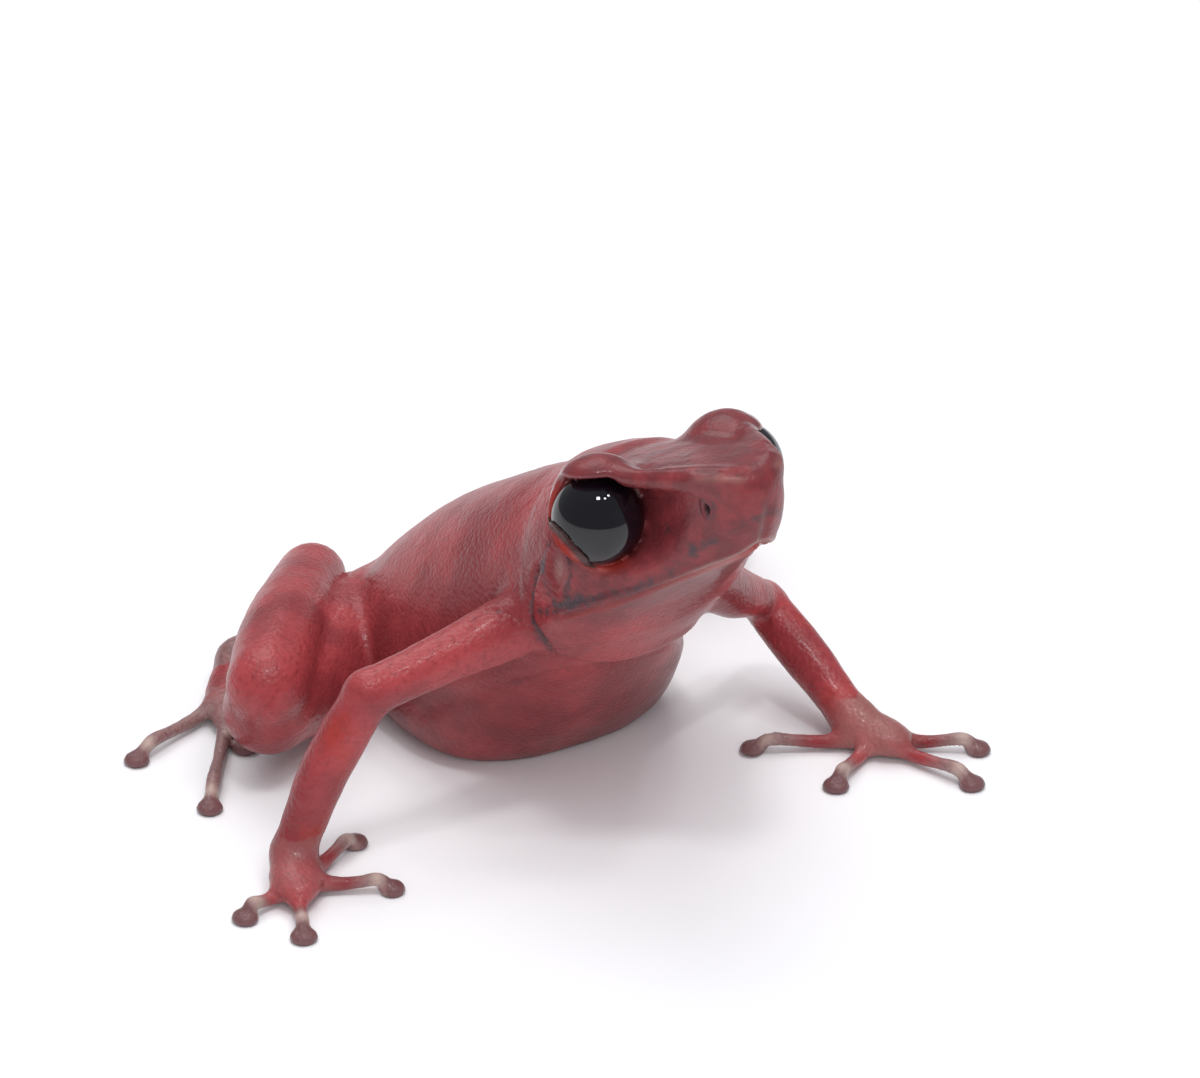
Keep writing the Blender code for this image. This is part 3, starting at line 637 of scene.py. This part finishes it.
def face_relief(points, marks):
    """Heights along the normals, and marks, of mouth, lips, ridges, nostrils, ear drums and creases, with
    painted shade in slits, in creases and on the crown, and painted highlights on lips and ridges.
    """
    height = np.zeros(len(points))
    place = to_head(points)
    face = (place[:, 1] > -5.5) & (np.abs(place[:, 0]) < 6)
    near = points[face]
    raised = np.zeros(len(near))
    dark, warm, pale = (np.zeros(len(near)) for _ in range(3))
    up = turn_from_head((0, 0, 1))
    gap, share, away = near_path(near, mouth_line())
    level = away @ up
    ends = step_up(share, 0.0, 0.05) * step_up(1 - share, 0.0, 0.05) * (gap < 1.2)
    front = step_up(place[face][:, 1], 0.5, 3.0)
    tip = step_up(place[face][:, 1], 3.2, 3.8)
    raised += ends * (1 - 0.8 * tip) * (0.04 * bell(level - 0.13, 0.1) - 0.09 * bell(level + 0.04, 0.05)
                                        + 0.04 * bell(level + 0.17, 0.08))
    # Painted shade in the slit of the mouth.
    dark += ends * 0.5 * bell(level + 0.04, 0.035) * (1 - front)
    warm += ends * (0.3 + 0.5 * front) * bell(level + 0.12, 0.07)
    # Painted highlights: along the edge of the upper lip, and in a band across the lower jaw.
    pale += ends * front * (0.5 * bell(level - 0.05, 0.06) + 0.45 * bell(level + 0.38, 0.14))
    # The head is painted darker: partly its darker skin, partly painted shade on the crown.
    marks["darker_skin_and_shade"][face] = step_up(place[face][:, 1], -3.0, -0.5) * step_up(place[face][:, 2], -3.6, -2.4)
    for path in mirrored(LIP_BAND):
        gap, share, _ = near_path(near, path)
        rough = 0.1 * value_noise(near, 0.2, 5) + 0.06 * value_noise(near, 0.09, 6)
        amount = 0.35 + 0.25 * step_up(share, 0.1, 0.3) + 0.25 * value_noise(near, 0.45, 7)
        amount += 0.5 * bell(share - 0.84, 0.09)
        dark += step_up(0.16 - gap + rough, -0.14, 0.16) * amount
    for path in mirrored(CANTHUS):
        gap, share, away = near_path(near, path)
        fade = step_up(share, 0, 0.1) * step_up(1 - share, 0, 0.2) * (gap < 0.4)
        crease = fade * bell(away @ up - 0.13, 0.05)
        raised += fade * 0.03 * bell(gap, 0.14) - 0.04 * crease
        # Painted highlight along the ridge.
        pale += fade * 0.3 * bell(gap, 0.1)
        # Painted shade in the thin crease above the ridge.
        dark += 0.5 * crease
    for path, depth, width in CREASES:
        for line in mirrored(path):
            line = smooth_rows(line, 4 * len(line))
            gap, share, _ = near_path(near, line)
            fade = step_up(share, 0, 0.12) * step_up(1 - share, 0, 0.12)
            raised -= fade * depth * bell(gap, width)
            raised += fade * depth * 0.35 * bell(gap - 2.2 * width, width)
            # Painted shade in the creases, darker for deeper ones.
            dark += fade * 8 * depth * step_up(width - gap + 0.05 * value_noise(near, 0.15, 6), -0.08, 0.12)
    for sign in (-1, 1):
        drum = from_head(np.array(EARDRUM) * (sign, 1, 1))
        flat = to_head(near) - np.array(EARDRUM) * (sign, 1, 1)
        ring = np.hypot(flat[:, 1], flat[:, 2] * 0.8)
        close = ball_distance(near, drum, 0) < 1.0
        raised += close * (0.05 * bell(ring - 0.45, 0.09) - 0.05 * bell(ring, 0.3))
        dark += close * bell(ring - 0.5, 0.12) * step_up(flat[:, 1], -0.1, 0.3) * 0.8
        pale += close * 0.35 * step_up(0.4 - np.hypot(1.6 * flat[:, 1], 0.9 * flat[:, 2]), 0, 0.3)
        dark += 0.5 * close * bell(ring - 0.62, 0.2) * step_up(-flat[:, 1], 0, 0.3)
        for smudge in SMUDGES:
            spread = ball_distance(near, from_head(np.array(smudge) * (sign, 1, 1)), 0)
            dark += 0.45 * step_up(0.42 - spread + 0.15 * value_noise(near, 0.2, 9), 0, 0.4)
        nose = from_head(np.array(NOSTRIL) * (sign, 1, 1))
        offset = to_head(near) - to_head(nose)
        slit = np.hypot(offset[:, 1] * 1.6, offset[:, 2] * 0.9)
        close = np.linalg.norm(offset, axis=1) < 0.6
        raised += close * (0.05 * bell(slit - 0.2, 0.08) - 0.2 * bell(slit, 0.09))
        dark += close * (step_up(0.42 - np.linalg.norm(offset, axis=1), 0, 0.16) * 0.6)
        # Painted shade in the slit of the nostril.
        dark += close * bell(slit, 0.1)
        eye = from_head((sign * EYE_SIDE, 0, 0))
        below = (near - eye) @ turn_from_head(np.array(LOWER_LID_FACE) * (sign, 1, 1))
        above = (near - eye) @ turn_from_head(np.array(UPPER_LID_FACES[0]) * (sign, 1, 1))
        rim = ball_distance(near, eye, 1.24)
        edge = bell(rim - 0.03, 0.1) * step_up(below, 0.85, 0.95) * step_up(-below, -1.2, -1.08)
        marks["rim"][face] = np.maximum(marks["rim"][face], edge)
        warm += bell(rim - 0.08, 0.18) * 0.8 * step_up(below, -0.2, 0.5)
        wet = bell(rim - 0.15, 0.3) * step_up(above, 0.3, 0.7) * step_up(1.55 - above, 0, 0.25)
        marks["sleek"][face] = np.maximum(marks["sleek"][face], wet)
    height[face] += raised
    marks["dark"][face] = np.maximum(marks["dark"][face], np.clip(dark, 0, 1))
    marks["warm"][face] = np.maximum(marks["warm"][face], np.clip(warm, 0, 1))
    marks["pale"][face] = np.maximum(marks["pale"][face], np.clip(pale, 0, 1))
    return height


def body_relief(points, marks):
    """Heights for the chest fold and the low swells of the skin, the marks of folds and limbs, and painted
    shade under the chest fold, on the belly and on the low tarsi, with painted light on the far hand.
    """
    height = 0.012 * value_noise(points, 0.55, SEED) + 0.006 * value_noise(points, 0.24, SEED + 1)
    fold = smooth_rows(CHEST_FOLD, 60)
    gap, share, away = near_path(points, fold)
    fade = step_up(share, 0, 0.1) * step_up(1 - share, 0, 0.1) * (gap < 2)
    height += fade * (0.12 * bell(away[:, 2] - 0.3, 0.35) - 0.12 * bell(away[:, 2] + 0.15, 0.22))
    # Painted shade in the groove under the chest fold, in patches.
    marks["dark"] = np.maximum(marks["dark"], fade * 0.5 * bell(away[:, 2] + 0.1, 0.2)
                               * step_up(value_noise(points, 0.9, 3), -0.2, 0.4))
    # Painted shade: the low belly and chest are painted darker.
    belly = step_up(3.4 - points[:, 2], 0, 1.6) * step_up(4.6 - np.abs(points[:, 0]), 0, 0.4)
    marks["darker_skin_and_shade"] = np.maximum(marks["darker_skin_and_shade"], 0.6 * belly * step_up(2.5 - points[:, 1], 0, 2.0))
    for joints, tips in ((ARM_RIGHT, FINGERS_RIGHT), (ARM_LEFT, FINGERS_LEFT)):
        elbow, wrist = np.array(joints[1]), np.array(joints[-1])
        run = (wrist - elbow) / np.linalg.norm(wrist - elbow)
        inner = np.array([math.copysign(-0.8, elbow[0]), -0.5, -0.2])
        patch = elbow + run * 1.2 + inner * 0.55
        spread = np.linalg.norm((points - patch) / (0.5, 0.5, 1.1), axis=1)
        rough = 0.5 * value_noise(points, 0.35, 8) + 0.25 * value_noise(points, 0.12, 9)
        marks["warm"] = np.maximum(marks["warm"], 0.6 * step_up(1.1 - spread + rough, 0, 0.9))
        spread = np.linalg.norm(points - (wrist - run * 0.9 + (0, -0.5, 0)), axis=1)
        marks["warm"] = np.maximum(marks["warm"], 0.6 * step_up(0.6 - spread + 0.4 * rough, 0, 0.45))
    for path in (TARSUS_RIGHT, TARSUS_LEFT):
        gap, share, _ = near_path(points, path)
        strip = (gap < 0.9) * (points[:, 2] < 1.5) * step_up(share, 0.0, 0.6)
        marks["digit"] = np.maximum(marks["digit"], strip * 0.8)
        # The low tarsus is grey like the digits, and darker as painted shade under the leg.
        marks["dark"] = np.maximum(marks["dark"], strip * 0.4)
    for root, tips, palm, grey in DIGIT_GROUPS:
        run = np.array([tips[-2][0] - root[0], tips[-2][1] - root[1]])
        centre = np.array(root[:2]) + run / np.linalg.norm(run) * palm[0] * 0.75
        low = points[:, 2] < 1.4
        # The back of the far hand is painted paler, as painted light, and that of the near hand greyer.
        if palm is PALM:
            back = low * 0.3 * step_up(1.6 - np.linalg.norm(points[:, :2] - centre, axis=1), 0, 1.0)
            name = "pale" if centre[0] > 0 else "digit"
            marks[name] = np.maximum(marks[name], back)
        for tip in tips:
            tip = np.array(tip)
            start = centre + (tip - centre) * 0.2
            line = np.array([[*start, 0.3], [*tip, 0.2]])
            gap, share, _ = near_path(points, line)
            mine = low & (gap < 0.6)
            digit = mine * step_up(share, grey, grey + 0.4)
            marks["digit"] = np.maximum(marks["digit"], digit)
            length = np.linalg.norm(tip - start)
            before = (1 - share) * length
            marks["pale"] = np.maximum(marks["pale"], mine * bell(before - 0.42, 0.2)
                                       * step_up(points[:, 2], 0.15, 0.4))
            marks["disc"] = np.maximum(marks["disc"], mine * step_up(0.24 - before, 0, 0.16))
    return height


def vertex_normals(bm):
    """Normals of a mesh's vertices."""
    bm.normal_update()
    return np.array([vert.normal[:] for vert in bm.verts])


def near_eyes(points, radius):
    """Distance to the nearer of two balls of a radius round the middles of the eyes."""
    eyes = from_head(((-EYE_SIDE, 0, 0), (EYE_SIDE, 0, 0)))
    return np.minimum(*(ball_distance(points, eye, radius) for eye in eyes))


def in_shell(points, radius, half, front):
    """Which points lie within half a thickness of a ball round an eye, and outwards and forward enough."""
    place = to_head(points)
    ahead = np.abs(place[:, 0]) - EYE_SIDE + place[:, 1]
    return (np.abs(near_eyes(points, radius)) < half) & (ahead > front)


def refine(bm, wanted):
    """Split the faces whose middles are wanted in four."""
    middles = np.array([face.calc_center_median()[:] for face in bm.faces])
    bm.faces.ensure_lookup_table()
    edges = {edge for i in np.nonzero(wanted(middles))[0] for edge in bm.faces[i].edges}
    bmesh.ops.subdivide_edges(bm, edges=list(edges), cuts=1, use_grid_fill=True)


def fine_parts(middles):
    """Head, arms, hands and feet."""
    chosen = (to_head(middles)[:, 1] > -3.2) | (middles[:, 2] < 1.0) & (np.abs(middles[:, 0]) > 4.6)
    for path in (ARM_RIGHT, ARM_LEFT):
        chosen |= near_path(middles, path)[0] < 1.0
    return chosen


def finer_parts(middles):
    """Mouth, lids, nostrils, creases of the jaw, and the hand nearest the camera."""
    chosen = (near_path(middles, mouth_line())[0] < 0.3) | in_shell(middles, *LID_SHELL)
    for sign in (-1, 1):
        chosen |= ball_distance(middles, from_head(np.array(NOSTRIL) * (sign, 1, 1)), 0.5) < 0
        for path in (JAW_CREASE, ARM_CREASE):
            chosen |= near_path(middles, from_head(np.array(path) * (sign, 1, 1)))[0] < 0.2
    return chosen | (middles[:, 2] < 0.6) & (middles[:, 0] < -6.5) & (middles[:, 1] < -2.8)


def finest_parts(middles):
    """Edges of the lids."""
    return in_shell(middles, *LID_EDGE)


def make_skin(settings):
    """The mesh of the skin, with its marks as attributes."""
    eye_radius = settings.eye_radius / MM
    low, high = (np.array(corner) / MM for corner in CAD_BOX)
    body = Field(low - MARGIN, high + MARGIN, BODY_STEP)
    head = Field(*HEAD_BOX, HEAD_STEP)
    for field in (body, head):
        shape_flesh(field)
    orbits = []
    for sign in (-1, 1):
        eye = from_head((sign * EYE_SIDE, 0, 0))
        orbit = Field(eye - ORBIT_GRID, eye + ORBIT_GRID, EYE_STEP)
        places = orbit.places(tuple(slice(0, n) for n in orbit.value.shape))
        orbit.value = head.at(places.reshape(-1, 3)).reshape(orbit.value.shape).astype(np.float32)
        orbits.append((orbit, eye - ORBIT_REACH, eye + ORBIT_REACH))
    for field in (body, head, *(orbit for orbit, _, _ in orbits)):
        shape_head(field, eye_radius)
    points, quads = zero_level(body, 2)
    bm = bmesh.new()
    verts = [bm.verts.new(point) for point in points]
    for quad in quads:
        bm.faces.new([verts[i] for i in quad])
    bmesh.ops.recalc_face_normals(bm, faces=bm.faces)
    for wanted in (fine_parts, finer_parts, finest_parts):
        refine(bm, wanted)
    points = np.array([vert.co[:] for vert in bm.verts])
    todo = np.ones(len(points), bool)
    for field, low, high in (*orbits, (head, HEAD_BOX[0] + 0.3, HEAD_BOX[1] - 0.3), (body, low, high)):
        mine = todo & np.all((points > low) & (points < high), axis=1) if field is not body else todo
        points[mine] = field.settle(points[mine])
        todo &= ~mine
    for vert, point in zip(bm.verts, points):
        vert.co = point
    normals = vertex_normals(bm)
    marks = {name: np.zeros(len(points)) for name in MARKS}
    height = face_relief(points, marks) + body_relief(points, marks)
    # The relief dies out against the eyeballs, and nothing reaches through the floor
    height *= step_up(near_eyes(points, eye_radius), 0.01, 0.1)
    points = points + normals * height[:, None]
    points[:, 2] = np.maximum(points[:, 2], 0.0)
    mesh = bpy.data.meshes.new("skin")
    bm.to_mesh(mesh)
    bm.free()
    mesh.vertices.foreach_set("co", (points * MM).astype(np.float32).ravel())
    for name, values in marks.items():
        layer = mesh.attributes.new(name, "FLOAT", "POINT")
        layer.data.foreach_set("value", values.astype(np.float32))
    mesh.shade_smooth()
    mesh.update()
    return mesh


class Signal:
    """A number that varies over a surface: its operators add Math nodes to the material."""

    def __init__(self, finish, socket):
        self.finish = finish
        self.socket = socket

    def join(self, operation, first, second):
        node = self.finish.node("ShaderNodeMath", {"operation": operation}, {0: first, 1: second})
        return Signal(self.finish, node.outputs[0])

    def __add__(self, other):
        return self.join("ADD", self, other)

    __radd__ = __add__

    def __mul__(self, other):
        return self.join("MULTIPLY", self, other)

    __rmul__ = __mul__

    def __sub__(self, other):
        return self.join("SUBTRACT", self, other)

    def __rsub__(self, other):
        return self.join("SUBTRACT", other, self)

    def at_least(self, other):
        return self.join("MAXIMUM", self, other)

    def at_most(self, other):
        return self.join("MINIMUM", self, other)


class Finish:
    """A material under the brush."""

    def __init__(self, name, **uniform):
        self.material = bpy.data.materials.new(name)
        self.material.use_nodes = True
        self.tree = self.material.node_tree
        self.shader = self.tree.nodes["Principled BSDF"]
        for socket, value in uniform.items():
            self.shader.inputs[socket.replace("_", " ")].default_value = value
        metres = self.node("ShaderNodeTexCoord").outputs["Object"]
        self.place = self.node("ShaderNodeVectorMath", {"operation": "SCALE"},
                               {0: metres, "Scale": 1 / MM}).outputs[0]

    def node(self, kind, settings=None, sockets=None):
        """A node of a kind, with its settings, and its sockets linked or given values."""
        node = self.tree.nodes.new(kind)
        for name, value in (settings or {}).items():
            setattr(node, name, value)
        for name, value in (sockets or {}).items():
            self.give(node.inputs[name], value)
        return node

    def give(self, socket, value):
        """Link a socket, or set its value."""
        if isinstance(value, Signal):
            value = value.socket
        if isinstance(value, bpy.types.NodeSocket):
            self.tree.links.new(value, socket)
        else:
            socket.default_value = value

    def mark(self, name):
        """One of the mesh's own marks."""
        return Signal(self, self.node("ShaderNodeAttribute", {"attribute_name": name}).outputs["Fac"])

    def noise(self, scale, detail=2.0, roughness=0.5):
        """Noise from 0 to 1, its scale in cells for each millimetre."""
        sockets = {"Vector": self.place, "Scale": scale, "Detail": detail, "Roughness": roughness}
        node = self.node("ShaderNodeTexNoise", None, sockets)
        return Signal(self, node.outputs["Fac"])

    def cells(self, scale):
        """Distance to the middle of cells, their scale in cells for each millimetre."""
        node = self.node("ShaderNodeTexVoronoi", None, {"Vector": self.place, "Scale": scale})
        return Signal(self, node.outputs["Distance"])

    def ease(self, signal, low, high):
        """Smooth step of a signal from 0 at low to 1 at high."""
        node = self.node("ShaderNodeMapRange", {"interpolation_type": "SMOOTHSTEP"},
                         {"Value": signal, "From Min": low, "From Max": high})
        return Signal(self, node.outputs["Result"])

    def blend(self, share, first, second):
        """Colour that goes from the first to the second as the share goes from 0 to 1."""
        node = self.node("ShaderNodeMix", {"data_type": "RGBA"},
                         {"Factor": share, 6: self.colour(first), 7: self.colour(second)})
        return node.outputs[2]

    @staticmethod
    def colour(value):
        """A colour property as four numbers, or a socket as it is."""
        if isinstance(value, bpy.types.NodeSocket):
            return value
        return (*value[:3], 1.0)


def skin_finish(colours, sizes):
    """Wet red skin: fine grains, painted shade in the creases, slits and under folds, a dark grey lip band,
    painted highlights on lips and ridges, orange-red in the folds, greyish digits.
    """
    skin = Finish("wet_red_skin", Specular_IOR_Level=0.35, Coat_Roughness=0.08)
    broad = skin.noise(0.45, 3.0)
    speckle = skin.noise(5.0, 2.0, 0.6)
    base = skin.blend(skin.ease(broad, 0.35, 0.65), colours.red, colours.deep_red)
    base = skin.blend(skin.ease(speckle, 0.45, 0.75) * 0.6, base, colours.deep_red)
    # The darker head, with painted shade on its crown and on the belly, in clouds.
    darker_skin_and_shade = skin.mark("darker_skin_and_shade")
    clouds = 0.45 + 0.3 * broad + 0.4 * skin.ease(skin.noise(1.8, 3.0), 0.4, 0.65)
    base = skin.blend(darker_skin_and_shade * clouds.at_most(1.0), base, colours.face_red_and_shade)
    base = skin.blend(skin.mark("warm") * 0.8, base, colours.fold_red)
    digit = skin.mark("digit")
    base = skin.blend((digit * (0.75 + 0.4 * skin.noise(2.5))).at_most(1.0), base, colours.digit_grey)
    base = skin.blend(skin.ease(skin.noise(8.0, 2.0), 0.5, 0.62) * digit * 0.35, base, colours.disc_mauve)
    # Pale knuckles and ear drums, and painted highlights on the lips and ridges, and painted light on the
    # far hand.
    base = skin.blend(skin.mark("pale") * 0.7, base, colours.knuckle_pale_and_highlight)
    base = skin.blend(skin.mark("disc") * 0.8, base, colours.disc_mauve)
    # Dark grey lip band and smudges, and painted shade in creases, slits and under the chest fold.
    dark = skin.mark("dark")
    broken = skin.ease(dark + (speckle - 0.5) * 1.1, 0.2, 1.0)
    base = skin.blend(broken * 0.9, base, colours.pigment_and_shade)
    base = skin.blend(skin.mark("rim"), base, colours.lid_brown)
    skin.give(skin.shader.inputs["Base Color"], base)
    sleek = skin.mark("sleek")
    skin.give(skin.shader.inputs["Roughness"], 0.26 + 0.16 * skin.noise(1.5, 3.0) - 0.16 * sleek)
    skin.give(skin.shader.inputs["Coat Weight"], 0.1 + 0.6 * sleek)
    grains = skin.cells(1 / (sizes.grain_size / MM))
    height = (1 - grains * grains * 1.4).at_least(0.0) * (1 - 0.8 * sleek) * (1 - 0.5 * darker_skin_and_shade)
    sockets = {"Height": height, "Strength": 1.0, "Distance": sizes.grain_height}
    bump = skin.node("ShaderNodeBump", None, sockets)
    skin.give(skin.shader.inputs["Normal"], bump.outputs["Normal"])
    return skin.material


def eye_finish(colours):
    """Wet black eyeball."""
    eye = Finish("black_eye", Roughness=0.02, Specular_IOR_Level=0.6)
    clouded = eye.ease(eye.noise(0.8, 2.0), 0.4, 0.7)
    eye.give(eye.shader.inputs["Base Color"], eye.blend(clouded, colours.eye_black, colours.eye_cloud))
    return eye.material


def floor_finish(colours):
    """Matt, pale floor."""
    floor = Finish("pale_floor", Roughness=0.6, Specular_IOR_Level=0.2)
    floor.give(floor.shader.inputs["Base Color"],
               floor.blend(floor.noise(0.02, 2.0) * 0.05, colours.floor, colours.floor_shade))
    return floor.material


def place_piece(name, mesh, material, nodes):
    """Put a finished mesh in the scene as a piece that stands for CAD nodes."""
    piece = bpy.data.objects.new(name, mesh)
    bpy.context.scene.collection.objects.link(piece)
    mesh.materials.append(material)
    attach(piece, BODY)
    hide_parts(*nodes)
    return piece


def mm(name, description, default):
    """A length property, given in millimetres."""
    return bpy.props.FloatProperty(name=name, description=description, default=default * MM, min=0.0,
                                   unit="LENGTH", precision=6)


def colour(name, description, default):
    """A colour property."""
    return bpy.props.FloatVectorProperty(name=name, description=description, default=default,
                                         subtype="COLOR", size=3, min=0.0, max=1.0)


class FrogSizes(bpy.types.PropertyGroup):
    """Sizes of the frog's surface."""
    eye_radius: mm("Eye radius", "Radius of each eyeball", 1.24)
    grain_size: mm("Grain size", "Width of one grain of the skin", 0.13)
    grain_height: mm("Grain height", "Height of the skin's grains", 0.016)


class FrogColours(bpy.types.PropertyGroup):
    """Colours of the frog and its floor."""
    red: colour("Red", "Skin where the light falls", (0.37, 0.052, 0.058))
    deep_red: colour("Deep red", "Darker clouds of the skin", (0.22, 0.028, 0.033))
    # Darker skin of the head, and also painted shade on the crown and the belly.
    face_red_and_shade: colour("Face red", "Dark skin of head and snout", (0.15, 0.026, 0.031))
    fold_red: colour("Fold red", "Orange-red in the folds and on elbow and wrist", (0.38, 0.03, 0.015))
    # Dark grey of the lip band and the cheek's smudges, and painted shade in the creases and slits.
    pigment_and_shade: colour("Pigment", "Dark grey lines in the creases and on the lip", (0.05, 0.035, 0.042))
    digit_grey: colour("Digit grey", "Fingers and toes", (0.27, 0.16, 0.155))
    # Pale of the knuckles and ear drums, and also the colour of painted highlights and painted light.
    knuckle_pale_and_highlight: colour("Pale knuckle", "Last knuckle of each digit", (0.5, 0.38, 0.33))
    disc_mauve: colour("Disc mauve", "Discs at the tips of the digits", (0.14, 0.055, 0.06))
    lid_brown: colour("Lid brown", "Inner edge of the lower lid", (0.02, 0.008, 0.008))
    eye_black: colour("Eye black", "Eyeball", (0.002, 0.002, 0.004))
    eye_cloud: colour("Eye cloud", "Faint clouds in the eyeball", (0.005, 0.0045, 0.008))
    floor: colour("Floor", "Floor", (0.88, 0.88, 0.9))
    floor_shade: colour("Floor shade", "Faint clouds of the floor", (0.84, 0.84, 0.88))


class FrogStage(bpy.types.PropertyGroup):
    """Camera and light."""
    azimuth: bpy.props.FloatProperty(name="Azimuth", description="Camera's turn round the frog",
                                     default=math.radians(-32), subtype="ANGLE")
    elevation: bpy.props.FloatProperty(name="Elevation", description="Camera's height over the horizon",
                                       default=math.radians(28), subtype="ANGLE")
    distance: mm("Distance", "From the camera to the aimed point", 150)
    focal_length: bpy.props.FloatProperty(name="Focal length", default=171.0,
                                          description="In millimetres, on a 36 mm sensor")
    aim: bpy.props.FloatVectorProperty(name="Aim", description="Point in the middle of the picture",
                                       default=(-0.00244, -0.00722, 0.00961), subtype="XYZ", unit="LENGTH")
    sky: bpy.props.FloatProperty(name="Sky", description="Strength of the even light", default=0.3)
    key: bpy.props.FloatProperty(name="Key", description="Watts of the soft box behind the frog",
                                 default=1.0)
    fill: bpy.props.FloatProperty(name="Fill", description="Watts of the broad panel overhead",
                                  default=1.9)
    front: bpy.props.FloatProperty(name="Front", description="Watts of the panel beside the camera",
                                   default=1.35)
    lamps: bpy.props.FloatProperty(name="Lamps", description="Watts of the small lamps overhead, together",
                                   default=0.5)


class FROG_OT_skin(bpy.types.Operator):
    """One skin over head, torso and limbs."""
    bl_idname = "frog.skin"
    bl_label = "Skin"

    def execute(self, context):
        flesh = [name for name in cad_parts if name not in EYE_NODES]
        finish = skin_finish(context.scene.frog_colours, context.scene.frog_sizes)
        place_piece("skin", make_skin(context.scene.frog_sizes), finish, flesh)
        return {"FINISHED"}


class FROG_OT_eyes(bpy.types.Operator):
    """Two wet black eyeballs."""
    bl_idname = "frog.eyes"
    bl_label = "Eyes"

    def execute(self, context):
        finish = eye_finish(context.scene.frog_colours)
        radius = context.scene.frog_sizes.eye_radius / MM
        for node, sign in zip(EYE_NODES, (-1, 1)):
            points, quads, triangles = ellipsoid_surface(from_head((sign * EYE_SIDE, 0, 0)), (radius,) * 3,
                                                         (1, 0), rings=60)
            mesh = bpy.data.meshes.new(node + "_ball")
            mesh.from_pydata((points * MM).tolist(), [], quads.tolist() + triangles.tolist())
            mesh.shade_smooth()
            place_piece(node + "_ball", mesh, finish, [node])
        return {"FINISHED"}


def soft_box(name, place, aim, side, power, colour_of_light):
    """Square area light that faces a point."""
    data = bpy.data.lights.new(name, "AREA")
    data.size = side
    data.energy = power
    data.color = colour_of_light
    lamp = bpy.data.objects.new(name, data)
    lamp.location = place
    lamp.rotation_euler = (Vector(aim) - Vector(place)).to_track_quat("-Z", "Y").to_euler()
    bpy.context.scene.collection.objects.link(lamp)
    return lamp


class FROG_OT_stage(bpy.types.Operator):
    """Pale floor, soft light and the camera."""
    bl_idname = "frog.stage"
    bl_label = "Stage"

    def execute(self, context):
        stage = context.scene.frog_stage
        mesh = bpy.data.meshes.new("floor")
        corners = [(x * FLOOR_HALF, y * FLOOR_HALF, FLOOR_LEVEL)
                   for x, y in ((-1, -1), (1, -1), (1, 1), (-1, 1))]
        mesh.from_pydata(corners, [], [(0, 1, 2, 3)])
        mesh.materials.append(floor_finish(context.scene.frog_colours))
        floor = bpy.data.objects.new("floor", mesh)
        context.scene.collection.objects.link(floor)
        back = Vector((math.sin(stage.azimuth) * math.cos(stage.elevation),
                       -math.cos(stage.azimuth) * math.cos(stage.elevation), math.sin(stage.elevation)))
        data = bpy.data.cameras.new("camera")
        data.sensor_width = 36.0
        data.lens = stage.focal_length
        data.clip_start = 0.001
        camera = bpy.data.objects.new("camera", data)
        camera.location = Vector(stage.aim) + back * stage.distance
        camera.rotation_euler = back.to_track_quat("Z", "Y").to_euler()
        context.scene.collection.objects.link(camera)
        context.scene.camera = camera
        middle = Vector((0.0, 0.0, 0.004))
        soft_box("key", (0.12, 0.36, 0.5), middle, 0.4, stage.key, (1.0, 0.99, 0.98))
        for number, (place, side, share) in enumerate(LAMPS):
            soft_box(f"lamp_{number}", place, middle, side, share * stage.lamps, (1.0, 1.0, 1.0))
        panels = (soft_box("fill", (0.0, -0.05, 0.55), middle, 0.7, stage.fill, (1.0, 1.0, 1.0)),
                  soft_box("front", (-0.3, -0.45, 0.3), middle, 0.5, stage.front, (1.0, 1.0, 1.0)))
        for panel in panels:
            panel.visible_glossy = False
        world = bpy.data.worlds.new("sky")
        world.use_nodes = True
        sky = world.node_tree.nodes["Background"]
        sky.inputs["Color"].default_value = (0.93, 0.95, 1.0, 1.0)
        sky.inputs["Strength"].default_value = stage.sky
        context.scene.world = world
        context.scene.view_settings.view_transform = "Standard"
        return {"FINISHED"}


class FROG_PT_panel(bpy.types.Panel):
    """Sizes, colours and steps of the frog."""
    bl_idname = "FROG_PT_panel"
    bl_label = "Strawberry poison dart frog"
    bl_space_type = "VIEW_3D"
    bl_region_type = "UI"
    bl_category = "Frog"

    def draw(self, context):
        for group in (context.scene.frog_sizes, context.scene.frog_colours, context.scene.frog_stage):
            box = self.layout.box()
            for name in group.__annotations__:
                box.prop(group, name)
        for step in (FROG_OT_skin, FROG_OT_eyes, FROG_OT_stage):
            self.layout.operator(step.bl_idname)


CLASSES = (FrogSizes, FrogColours, FrogStage, FROG_OT_skin, FROG_OT_eyes, FROG_OT_stage, FROG_PT_panel)
GROUPS = {"frog_sizes": FrogSizes, "frog_colours": FrogColours, "frog_stage": FrogStage}


def register():
    """Register the classes and hang the settings on the scene."""
    for cls in CLASSES:
        bpy.utils.register_class(cls)
    for name, group in GROUPS.items():
        setattr(bpy.types.Scene, name, bpy.props.PointerProperty(type=group))


def unregister():
    """Undo register."""
    for name in GROUPS:
        delattr(bpy.types.Scene, name)
    for cls in reversed(CLASSES):
        bpy.utils.unregister_class(cls)


def main():
    """Build every piece."""
    register()
    bpy.ops.frog.stage()
    bpy.ops.frog.skin()
    bpy.ops.frog.eyes()


if __name__ == "__main__":
    main()
